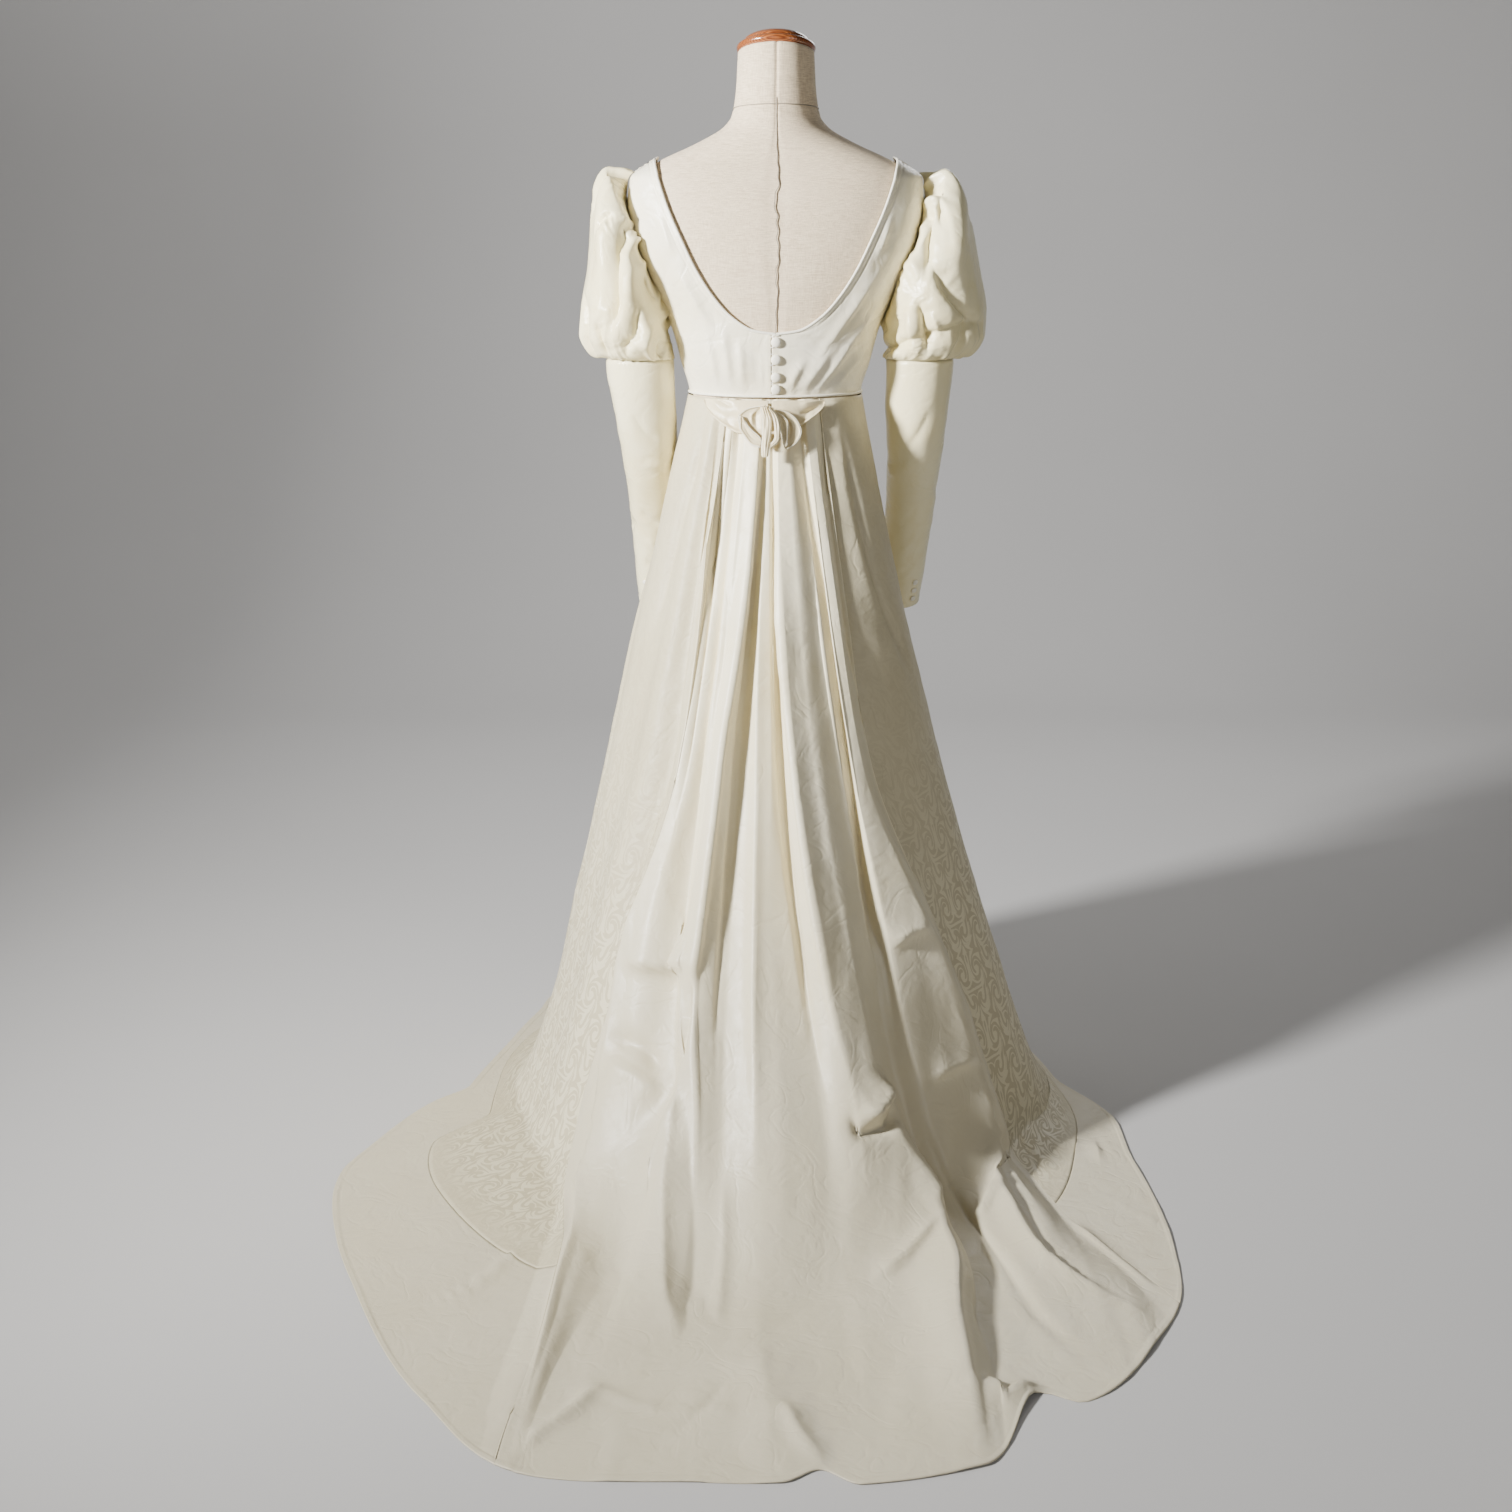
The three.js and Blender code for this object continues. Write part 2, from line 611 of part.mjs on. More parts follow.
// The smooth fall of the cloth, without folds.
function fallPoint(angle, station) {
  const plan = skirtPlan(angle);
  const sine = Math.sin(radians(angle));
  const cosine = -Math.cos(radians(angle));
  const side = cosine < 0 ? "back" : "front";
  if (station >= 1) {
    const radius = plan.land + (plan.hem - plan.land) * (station - 1);
    return new THREE.Vector3(radius * sine, radius * cosine, 0);
  }
  const knee = 1 - (KNEE_HEIGHT / WAIST_HEIGHT) ** (1 / plan.flare);
  const atWaist = ((station - knee) * (station - 1)) / knee;
  const atKnee = (station * (station - 1)) / (knee * (knee - 1));
  const atFloor = (station * (station - knee)) / (1 - knee);
  const x = atWaist * WAIST_SECTION.half + atKnee * KNEE_SECTION.half + atFloor * plan.land;
  const y = atWaist * WAIST_SECTION[side] + atKnee * KNEE_SECTION[side] + atFloor * plan.land;
  return new THREE.Vector3(x * sine, y * cosine, WAIST_HEIGHT * (1 - station) ** plan.flare);
}

function fallNormal(angle, station) {
  const down = fallPoint(angle, station + 0.01).sub(fallPoint(angle, Math.max(station - 0.01, 0)));
  const across = fallPoint(angle + 0.5, station).sub(fallPoint(angle - 0.5, station));
  return down.cross(across).normalize();
}

// A place on the cloth: fold counts the folds from the centre front, with fractions between two.
function skirtPoint(fold, station) {
  const i = Math.min(Math.floor(fold), FOLDS.length - 2);
  const f = fold - i;
  const angle = foldAngles[i](station) * (1 - f) + foldAngles[i + 1](station) * f;
  const ease = (1 - Math.cos(Math.PI * f)) / 2;
  const height = foldHeights[i](station) * (1 - ease) + foldHeights[i + 1](station) * ease;
  const point = fallPoint(angle, station).addScaledVector(fallNormal(angle, station), height);
  point.z = Math.max(point.z, CLOTH_WALL);
  return point;
}

// The cloth's outward direction, worked out from the whole skirt so that neighbours agree at a seam.
function skirtNormal(fold, station) {
  const end = FOLDS.length - 1;
  const wrapped = (f) => (f < 0 ? f + end : f > end ? f - end : f);
  const before = Math.max(station - 0.012, 0);
  const down = skirtPoint(fold, Math.min(station + 0.012, 2)).sub(skirtPoint(fold, before));
  const across = skirtPoint(wrapped(fold + 0.08), station).sub(skirtPoint(wrapped(fold - 0.08), station));
  return down.cross(across).normalize();
}

// A wall over columns that each give their place among the folds at a station, with rows that
// each give their station in a column. The inner side lies flat where the cloth lies on the floor.
function skirtWall(columns, rows) {
  const places = rows.map((row) => columns.map((column, j) => ({ fold: column(row(j)), station: row(j) })));
  const outer = places.map((row) => row.map(({ fold, station }) => skirtPoint(fold, station)));
  const inner = places.map((row, i) =>
    row.map(({ fold, station }, j) => {
      const point = outer[i][j].clone().addScaledVector(skirtNormal(fold, station), -CLOTH_WALL);
      return point.setZ(Math.max(point.z, 0));
    }),
  );
  return wallGeometry(outer, inner);
}

const SKIRT_STATIONS = [0, 0.04, 0.09, 0.16, 0.24, 0.33, 0.43, 0.54, 0.65, 0.76, 0.86, 0.95];
const FLOOR_STATIONS = [1.04, 1.18, 1.35, 1.55, 1.78, 2];
const GORE_FLOOR_START = 0.95;

// Half the gap of a seam at a fold, as a share of the space to the next fold.
function seamShare(fold, station) {
  const reach = 0.05;
  const width = skirtPoint(fold, station).distanceTo(skirtPoint(fold + reach, station));
  const gap = THREE.MathUtils.lerp(SEAM_GAP, FLOOR_SEAM_GAP, THREE.MathUtils.smoothstep(station, 0.9, 1));
  return (reach * gap) / (2 * width);
}

// The columns of a piece between two places among the folds, held off both of its seams.
function seamedColumns(first, last, between) {
  const inside = steps(Math.round((last - first) * between), first, last).slice(1, -1);
  return [
    (station) => first + seamShare(first, station),
    ...inside.map((fold) => () => fold),
    (station) => last - seamShare(last - 0.05, station),
  ];
}

// The station at which a gore's damask ends: past it lies the plain cloth of the train.
function damaskEnd(fold) {
  const radiusAt = (station) => {
    const point = skirtPoint(fold, station);
    const angle = THREE.MathUtils.radToDeg(Math.atan2(point.x, -point.y));
    return Math.hypot(point.x, point.y) - damaskHem(angle).radius;
  };
  let low = 1;
  let high = 2;
  for (let i = 0; i < 30; i += 1) {
    const middle = (low + high) / 2;
    if (radiusAt(middle) < 0) low = middle;
    else high = middle;
  }
  return low;
}

const COLUMNS_PER_FOLD = 3;
const WING_LEFT_START = foldNumber("front_flute_left") + 1 / 3;

function backTrain() {
  const columns = seamedColumns(foldNumber("back_edge_left"), foldNumber("gore_tuck_right"), COLUMNS_PER_FOLD);
  return skirtWall(columns, [...SKIRT_STATIONS, ...FLOOR_STATIONS].map((station) => () => station));
}

function sideGore(firstName, lastName) {
  const columns = seamedColumns(foldNumber(firstName), foldNumber(lastName), COLUMNS_PER_FOLD);
  const ends = columns.map((column) => damaskEnd(column(1)));
  const rows = SKIRT_STATIONS.map((station) => () => station);
  [0.5, 1].forEach((share) => rows.push((j) => GORE_FLOOR_START + (ends[j] - GORE_FLOOR_START) * share));
  return skirtWall(columns, rows);
}

// The train's plain cloth on the floor, from the gore's hem out to the train's own hem.
function trainWing(first, last) {
  const columns = seamedColumns(first, last, COLUMNS_PER_FOLD);
  const starts = columns.map((column) => {
    const fold = column(1);
    const end = damaskEnd(fold);
    const stride = skirtPoint(fold, end).distanceTo(skirtPoint(fold, end + 0.05));
    return end + (0.05 * WING_GAP) / stride;
  });
  const rows = steps(4, 0, 1).map((share) => (j) => starts[j] + (2 - starts[j]) * share);
  return skirtWall(columns, rows);
}

// The front goes from the right side seam round the front to the left one.
function skirtFront() {
  const right = seamedColumns(foldNumber("side_seam_right"), FOLDS.length - 1, COLUMNS_PER_FOLD).slice(0, -1);
  const left = seamedColumns(0, foldNumber("side_seam_left"), COLUMNS_PER_FOLD).slice(1);
  const columns = [...right, () => 0, ...left];
  const ends = columns.map((column) => damaskEnd(column(1)));
  const rows = SKIRT_STATIONS.map((station) => () => station);
  rows.push((j) => ends[j]);
  return skirtWall(columns, rows);
}

// ---- The sleeves ----
// The edge of the armhole on the right side: 0 is the shoulder tip, 90 the front, 180 the underarm.
function armholePoint(angle) {
  const front = angle <= 180;
  const row = (UNDERARM_ROW * (front ? angle : 360 - angle)) / 180;
  const e = panelEdges(row, front ? frontRow : backRow, front);
  return bodyPoint(e.edgeZ, e.edgeAngle, OUTER_OFFSET);
}

function puffPoint(side, station, angle) {
  const ring = puffRing(station);
  const [topX, underX] = side > 0 ? [ring.topRight, ring.underRight] : [ring.topLeft, ring.underLeft];
  const cosine = Math.cos(radians(angle));
  const sine = Math.sin(radians(angle));
  const middle = new THREE.Vector3((topX + underX) / 2, 0, (ring.topZ + ring.underZ) / 2);
  const up = new THREE.Vector3((topX - underX) / 2, 0, (ring.topZ - ring.underZ) / 2);
  const gathers = ring.gather * Math.cos(PUFF_GATHERS * radians(angle));
  const folds = ring.fold * Math.cos(PUFF_FOLDS * radians(angle) + side + 3 * station);
  const topShare = Math.max(0, (cosine + 1) / 2);
  const swell = up.clone().setLength(1).multiplyScalar(cosine * (gathers + folds) * topShare);
  const point = middle.addScaledVector(up, cosine).add(swell);
  point.y += sine * (ring.deep + gathers + folds);
  const hold = THREE.MathUtils.smoothstep(station, 0, 0.1);
  const edge = armholePoint(angle).add(new THREE.Vector3(ARMHOLE_GAP, 0, 0));
  return edge.lerp(point, hold);
}

const RING_COLUMNS = 24;
const PUFF_STATIONS = [0, 0.1, 0.24, 0.42, 0.6, 0.76, 0.87, 0.95, 1];
const ringAngles = (count) => steps(count, 0, 360).slice(0, count);

function sidedWall(side, grid) {
  return clothWall(side > 0 ? grid : mirrored(grid), { wrap: true });
}

function puff(side) {
  const ring = (station) => ringAngles(RING_COLUMNS).map((angle) => puffPoint(side, station, angle));
  const grid = PUFF_STATIONS.map(ring);
  return sidedWall(side, grid);
}

function sleevePoint(side, z, angle, grow = 0) {
  const ring = sleeveRing(z);
  const slope = sleeveRing(z - 5).y - sleeveRing(z + 5).y;
  const tilt = Math.atan2(slope, 10) * THREE.MathUtils.smoothstep(1095 - z, 0, 60);
  const radius = ring.radius + grow;
  const across = radius * Math.cos(radians(angle));
  const deep = radius * Math.sin(radians(angle));
  const x = (side > 0 ? ring.right : ring.left) + across;
  return new THREE.Vector3(x, ring.y + deep * Math.cos(tilt), z + deep * Math.sin(tilt));
}

function lowerSleeve(side) {
  const levels = [1095.5, 1060, 1015, 970, 920, 860, 790, 722];
  const grid = levels.map((z) => ringAngles(14).map((angle) => sleevePoint(side, z, angle)));
  return sidedWall(side, grid);
}

// ---- Trimmings ----
// A covered button: a low dome on its own flat back, turned so that it faces along a direction.
function buttonMesh(name, radius, dome, place, facing) {
  const arc = steps(3, 0, 90).map((angle) => {
    const across = radius * Math.cos(radians(angle));
    return new THREE.Vector2(angle === 90 ? 0 : across, dome * 0.35 + dome * 0.65 * Math.sin(radians(angle)));
  });
  const profile = [new THREE.Vector2(0, 0), new THREE.Vector2(radius * 0.9, 0), ...arc];
  const mesh = clothMesh(name, new THREE.LatheGeometry(profile, 10), IVORY_SATIN);
  mesh.quaternion.setFromUnitVectors(new THREE.Vector3(0, 1, 0), facing.clone().normalize());
  mesh.position.copy(place);
  return mesh;
}

function backButton(z, number) {
  const surface = bodyPoint(z, 0, OUTER_OFFSET + 2 * SEAM_GAP);
  const facing = surface.clone().sub(bodyPoint(z, 0, 0));
  return buttonMesh(`back_button_${number}`, BUTTON_RADIUS, BUTTON_DOME, surface, facing);
}

function cuffButton(side, number) {
  const z = 728 + 14 * number;
  const angle = 300;
  const surface = sleevePoint(1, z, angle, SEAM_GAP + 0.6);
  const facing = surface.clone().sub(sleevePoint(1, z, angle, -20));
  if (side < 0) {
    surface.x = -sleevePoint(-1, z, angle, SEAM_GAP + 0.6).x;
    facing.x = -facing.x;
  }
  const name = `cuff_button_${side > 0 ? "right" : "left"}_${number}`;
  return buttonMesh(name, CUFF_BUTTON_RADIUS, CUFF_BUTTON_DOME, surface, facing);
}

// The cord that edges the neck: just off the panels' edges, towards the middle of the opening.
function neckCordPoints() {
  const beside = (row, reader, front) => {
    const e = panelEdges(row, reader, front);
    const point = bodyPoint(e.neckZ, e.neckAngle, CLOTH_CLEARANCE + CLOTH_WALL / 2);
    const outward = bodyPoint(e.neckZ, e.neckAngle, 1).sub(bodyPoint(e.neckZ, e.neckAngle, 0));
    const inward = new THREE.Vector3(-point.x, 0, NECK_OPENING_MIDDLE - point.z);
    const off = inward.projectOnPlane(outward).setLength(CORD_RADIUS + NECK_CORD_GAP);
    return point.add(off);
  };
  const back = steps(13, 7.6, 0).map((row) => beside(row, backRow, false));
  const front = steps(12, 0.5, 6.9).map((row) => beside(row, frontRow, true));
  const right = [...back, ...front];
  const left = right.map((p) => new THREE.Vector3(-p.x, p.y, p.z)).reverse();
  return [...right, ...left];
}

function waistCordPoints() {
  return ringAngles(40).map((angle) => {
    const level = WAIST_HEIGHT + WAIST_CORD_RISE + 1.5 * CORD_RADIUS;
    const point = bodyPoint(level, angle + 4, OUTER_OFFSET + CORD_RADIUS + 3 * SEAM_GAP);
    return point.setZ(WAIST_HEIGHT + WAIST_CORD_RISE);
  });
}

// ---- The swag and the bow below the closing ----
const SWAG_OUT = 12;
const SWAG_DEEPEST_STATION = 0.0215;
const SWAG_WINGS = { left: { corner: -49, inner: -22 }, right: { corner: 31, inner: 4 } };

// One wing of the swag: a corner at the waist, widening in soft pleats towards the bow.
function swagWing({ corner, inner }) {
  const grid = steps(5, 0, 1).map((down) =>
    steps(6, 0, 1).map((inward) => {
      const angle = corner + (inner - corner) * inward;
      const station = 0.0015 + SWAG_DEEPEST_STATION * down * (0.06 + 0.94 * inward ** 0.65);
      const pleats = 2 * Math.sin(Math.PI * 2.5 * down) * inward;
      const out = SWAG_OUT + pleats - 2 * (1 - inward);
      return fallPoint(angle, station).addScaledVector(fallNormal(angle, station), out);
    }),
  );
  return clothWall(facingBack(grid));
}

// The bow: each piece is a strip between two rails, given as places across and up, which run down
// from the gathered top. Lift is how far the strip stands out at its rails and midway between them.
const BOW = { x: -16, z: 1046, back: -109, lean: 0.2, rounding: 0.0025 };
const BOW_STRIPS = [
  {
    name: "bow_loop_left", lift: 5, middle: 3,
    outer: [[-14, 1044], [-36, 1041], [-51, 1028], [-46, 1010], [-33, 993], [-20, 989]],
    inner: [[-12, 1040], [-13, 1032], [-14, 1022], [-15, 1012], [-16, 1002], [-17, 993]],
  },
  {
    name: "bow_loop_left_inner", lift: 8.5, middle: 8,
    outer: [[-49, 1031], [-49, 1017], [-42, 1004], [-33, 994], [-21, 990.5]],
    inner: [[-45, 1030], [-38, 1018], [-31, 1011], [-25, 1006], [-20, 1001]],
  },
  {
    name: "bow_band", lift: 11.5, middle: 15,
    outer: [[-21, 1043], [-18, 1025], [-18, 1007], [-19.5, 992], [-19, 978]],
    inner: [[-12, 1044], [-6, 1024], [-7, 1008], [-9.5, 994], [-11, 978]],
  },
  {
    name: "bow_fold", lift: 12, middle: 16,
    outer: [[-9, 1044], [1, 1033], [5.5, 1016], [5, 1002], [-1, 993.5], [-8, 989.5]],
    inner: [[-10, 1040], [-3.5, 1028], [-1.5, 1014], [-1.5, 1004], [-4, 998.5], [-7.5, 995]],
  },
  {
    name: "bow_loop_right", lift: 5, middle: 3,
    outer: [[-2, 1039], [13, 1036], [27, 1026], [34, 1010], [28, 996], [14, 987]],
    inner: [[-1, 1035], [2, 1027], [4, 1018], [6.5, 1009], [8.5, 999], [11.5, 989]],
  },
  {
    name: "bow_loop_right_inner", lift: 8.5, middle: 8,
    outer: [[2, 1036], [10, 1030], [16, 1021], [15, 1006], [14.5, 991]],
    inner: [[0, 1033], [3.5, 1023], [6.5, 1012], [9, 1002], [12.5, 991]],
  },
];

function bowStrip({ outer, inner, lift, middle }) {
  const rails = [outer, inner].map(
    (rail) => new THREE.CatmullRomCurve3(rail.map(([x, z]) => new THREE.Vector3(x, 0, z))),
  );
  const grid = steps(9, 0, 1).map((along) => {
    const [from, to] = rails.map((rail) => rail.getPoint(along));
    return steps(4, 0, 1).map((across) => {
      const point = from.clone().lerp(to, across);
      const raised = lift + (middle - lift) * Math.sin(Math.PI * across);
      const behind = BOW.lean * (BOW.z - point.z) - BOW.rounding * (point.x - BOW.x) ** 2;
      return point.setY(BOW.back - behind - raised);
    });
  });
  return clothWall(facingBack(grid));
}

// Puts a grid's columns in the order that makes its outer side face the wearer's back.
function facingBack(grid) {
  const middle = gridNormals(grid, false)[2][2];
  return middle.y < 0 ? grid : grid.map((row) => [...row].reverse());
}

// ---- The dress form and its stand ----
function formBody() {
  const levels = BODY_SECTIONS.map((section) => section.z).toReversed();
  const rings = levels.map((z) =>
    ringAngles(32).map((angle) => {
      const point = sectionPoint(z, angle);
      const slope = THREE.MathUtils.smoothstep(z, 1430, NECK_TOP) * Math.tan(radians(NECK_TILT));
      point.z -= slope * point.y;
      return point;
    }),
  );
  return loftGeometry(rings);
}

function neckCap() {
  const rim = steps(4, -90, 90).map((angle) => {
    const across = CAP_RADIUS - 5 + 5 * Math.cos(radians(angle));
    return new THREE.Vector2(across, 5 + 5 * Math.sin(radians(angle)));
  });
  const dome = steps(4, 0, 90).map((angle) => {
    const across = (CAP_RADIUS - 9) * Math.cos(radians(angle));
    return new THREE.Vector2(angle === 90 ? 0 : across, 11 + (CAP_HEIGHT - 11) * Math.sin(radians(angle)));
  });
  return new THREE.LatheGeometry([new THREE.Vector2(0, 0), ...rim, ...dome], 24);
}

function standBase() {
  const profile = [
    new THREE.Vector2(0, 0),
    new THREE.Vector2(BASE_RADIUS, 0),
    new THREE.Vector2(BASE_RADIUS, BASE_HEIGHT - 10),
    new THREE.Vector2(BASE_RADIUS - 8, BASE_HEIGHT - 3),
    new THREE.Vector2(60, BASE_HEIGHT),
    new THREE.Vector2(0, BASE_HEIGHT),
  ];
  return new THREE.LatheGeometry(profile, 28);
}

// ---- Assembly ----
function clothMesh(name, geometry, finish) {
  const mesh = new THREE.Mesh(geometry, new THREE.MeshStandardMaterial(finish));
  mesh.name = name;
  return mesh;
}

const group = new THREE.Group();
const add = (name, geometry, finish) => {
  const mesh = clothMesh(name, geometry, finish);
  group.add(mesh);
  return mesh;
};

add("bodice_back_left", backPanel(-1), IVORY_SATIN);
add("bodice_back_right", backPanel(1), IVORY_SATIN);
add("bodice_front", frontPanel(), IVORY_SATIN);
add("neck_cord", cordGeometry(neckCordPoints(), true, CORD_RADIUS, 6, 60), IVORY_SATIN);
add("waist_cord", cordGeometry(waistCordPoints(), true, CORD_RADIUS, 6, 40), IVORY_SATIN);

add("skirt_train", backTrain(), IVORY_SATIN);
add("skirt_gore_left", sideGore("side_seam_left", "back_edge_left"), IVORY_DAMASK);
add("skirt_gore_right", sideGore("gore_tuck_right", "side_seam_right"), IVORY_DAMASK);
add("skirt_front", skirtFront(), IVORY_DAMASK);
add("train_wing_left", trainWing(WING_LEFT_START, foldNumber("back_edge_left")), IVORY_SATIN);
add("train_wing_right", trainWing(foldNumber("gore_tuck_right"), foldNumber("side_seam_right")), IVORY_SATIN);

add("sleeve_puff_left", puff(-1), IVORY_SLEEVE);
add("sleeve_puff_right", puff(1), IVORY_SLEEVE);
add("sleeve_lower_left", lowerSleeve(-1), IVORY_SLEEVE);
add("sleeve_lower_right", lowerSleeve(1), IVORY_SLEEVE);

BUTTON_HEIGHTS.forEach((z, i) => group.add(backButton(z, i + 1)));
[-1, 1].forEach((side) => [1, 2, 3].forEach((number) => group.add(cuffButton(side, number))));

add("swag_left", swagWing(SWAG_WINGS.left), IVORY_SATIN);
add("swag_right", swagWing(SWAG_WINGS.right), IVORY_SATIN);
BOW_STRIPS.forEach((strip) => add(strip.name, bowStrip(strip), IVORY_SATIN));

add("form_body", formBody(), FORM_LINEN);
const cap = add("form_neck_cap", neckCap(), CAP_WOOD);
cap.rotation.x = Math.PI / 2 - radians(NECK_TILT);
cap.position.z = NECK_TOP + SEAM_GAP;
const pole = add("stand_pole", new THREE.CylinderGeometry(
  POLE_RADIUS, POLE_RADIUS, FORM_BOTTOM - BASE_HEIGHT - 2 * SEAM_GAP, 20), STAND_METAL);
pole.rotation.x = Math.PI / 2;
pole.position.z = (FORM_BOTTOM + BASE_HEIGHT) / 2;
const base = add("stand_base", standBase(), STAND_METAL);
base.rotation.x = Math.PI / 2;

export default group;
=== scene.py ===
"""A wedding dress with a train on a limbless dress form: its looks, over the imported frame."""
import json
import math
from functools import partial, partialmethod

import bpy
import numpy as np
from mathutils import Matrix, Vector

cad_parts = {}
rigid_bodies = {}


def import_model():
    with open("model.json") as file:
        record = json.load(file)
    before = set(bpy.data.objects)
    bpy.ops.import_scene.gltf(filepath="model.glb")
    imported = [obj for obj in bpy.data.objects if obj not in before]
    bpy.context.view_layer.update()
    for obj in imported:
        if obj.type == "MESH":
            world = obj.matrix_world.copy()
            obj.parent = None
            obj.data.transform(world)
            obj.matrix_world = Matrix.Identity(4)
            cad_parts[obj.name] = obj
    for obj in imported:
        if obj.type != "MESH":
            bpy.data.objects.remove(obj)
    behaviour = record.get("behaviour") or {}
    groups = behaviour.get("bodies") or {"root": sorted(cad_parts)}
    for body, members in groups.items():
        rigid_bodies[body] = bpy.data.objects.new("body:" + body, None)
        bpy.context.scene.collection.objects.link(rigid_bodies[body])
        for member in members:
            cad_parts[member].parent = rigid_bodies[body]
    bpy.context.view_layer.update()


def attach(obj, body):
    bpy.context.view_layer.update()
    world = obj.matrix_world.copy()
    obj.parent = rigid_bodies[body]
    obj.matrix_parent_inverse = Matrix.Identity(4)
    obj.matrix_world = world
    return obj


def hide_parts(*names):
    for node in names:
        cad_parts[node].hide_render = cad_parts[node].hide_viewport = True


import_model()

# ---- Tables, in millimetres and degrees, the same as the frame's own ----
# Angles go round the body: 0 is the centre back, 90 the wearer's right side, 180 the centre front.
MM = 0.001
CLOTH = 1.3
OUTER = 4.9
OFF_FLOOR = 0.2
WAIST_HEIGHT = 1050.0
KNEE_HEIGHT = 450.0
WAIST = {"half": 121.0, "back": 92.0, "front": 103.0}
KNEE = {"half": 250.0, "back": 256.0, "front": 240.0}

# height, half width, depth to the back, depth to the front, squareness
BODY_SECTIONS = np.array([
    (800, 140, 92, 98, 2.05), (850, 139, 94, 100, 2.05), (900, 134, 91, 100, 2.05),
    (950, 126, 87, 99, 2.05), (1000, 118, 84, 97, 2.05), (1050, 115, 84, 96, 2.05),
    (1100, 128, 91, 113, 2.25), (1150, 142, 95, 125, 2.3), (1200, 167, 96, 122, 2.4),
    (1250, 189, 94, 104, 2.5), (1300, 197, 87, 82, 2.5), (1336, 194, 75, 60, 2.5),
    (1348, 180, 70, 56, 2.5), (1362, 155, 64, 52, 2.4), (1386, 102, 58, 50, 2.2),
    (1404, 71, 54, 50, 2.0), (1418, 60, 52, 51, 2.0), (1450, 54, 52, 52, 2.0),
    (1498, 51, 51, 51, 2.0),
])

# direction, where the cloth lands, where its hem lies, power of its fall
SKIRT_PLAN = np.array([
    (-180, 355, 395, 1.25), (-150, 375, 440, 1.3), (-132, 390, 495, 1.35), (-122, 392, 464, 1.4),
    (-105, 395, 445, 1.45), (-86, 398, 468, 1.5), (-80, 396, 527, 1.55), (-70, 400, 612, 1.65),
    (-63, 408, 683, 1.72), (-50, 430, 753, 1.85), (-41, 480, 804, 1.93), (-26, 580, 926, 2),
    (-16, 645, 1003, 2), (-5, 665, 981, 2), (0, 665, 979, 2), (2.5, 660, 958, 2), (5, 655, 985, 2),
    (13, 625, 975, 2), (20, 580, 872, 2), (22.5, 560, 905, 2), (33, 505, 842, 1.98),
    (38, 480, 806, 1.95), (46, 445, 719, 1.88), (55, 420, 631, 1.8), (64, 410, 564, 1.62),
    (75, 422, 521, 1.45), (90, 424, 436, 1.3), (110, 405, 420, 1.3), (145, 370, 410, 1.3),
    (180, 355, 395, 1.25),
])

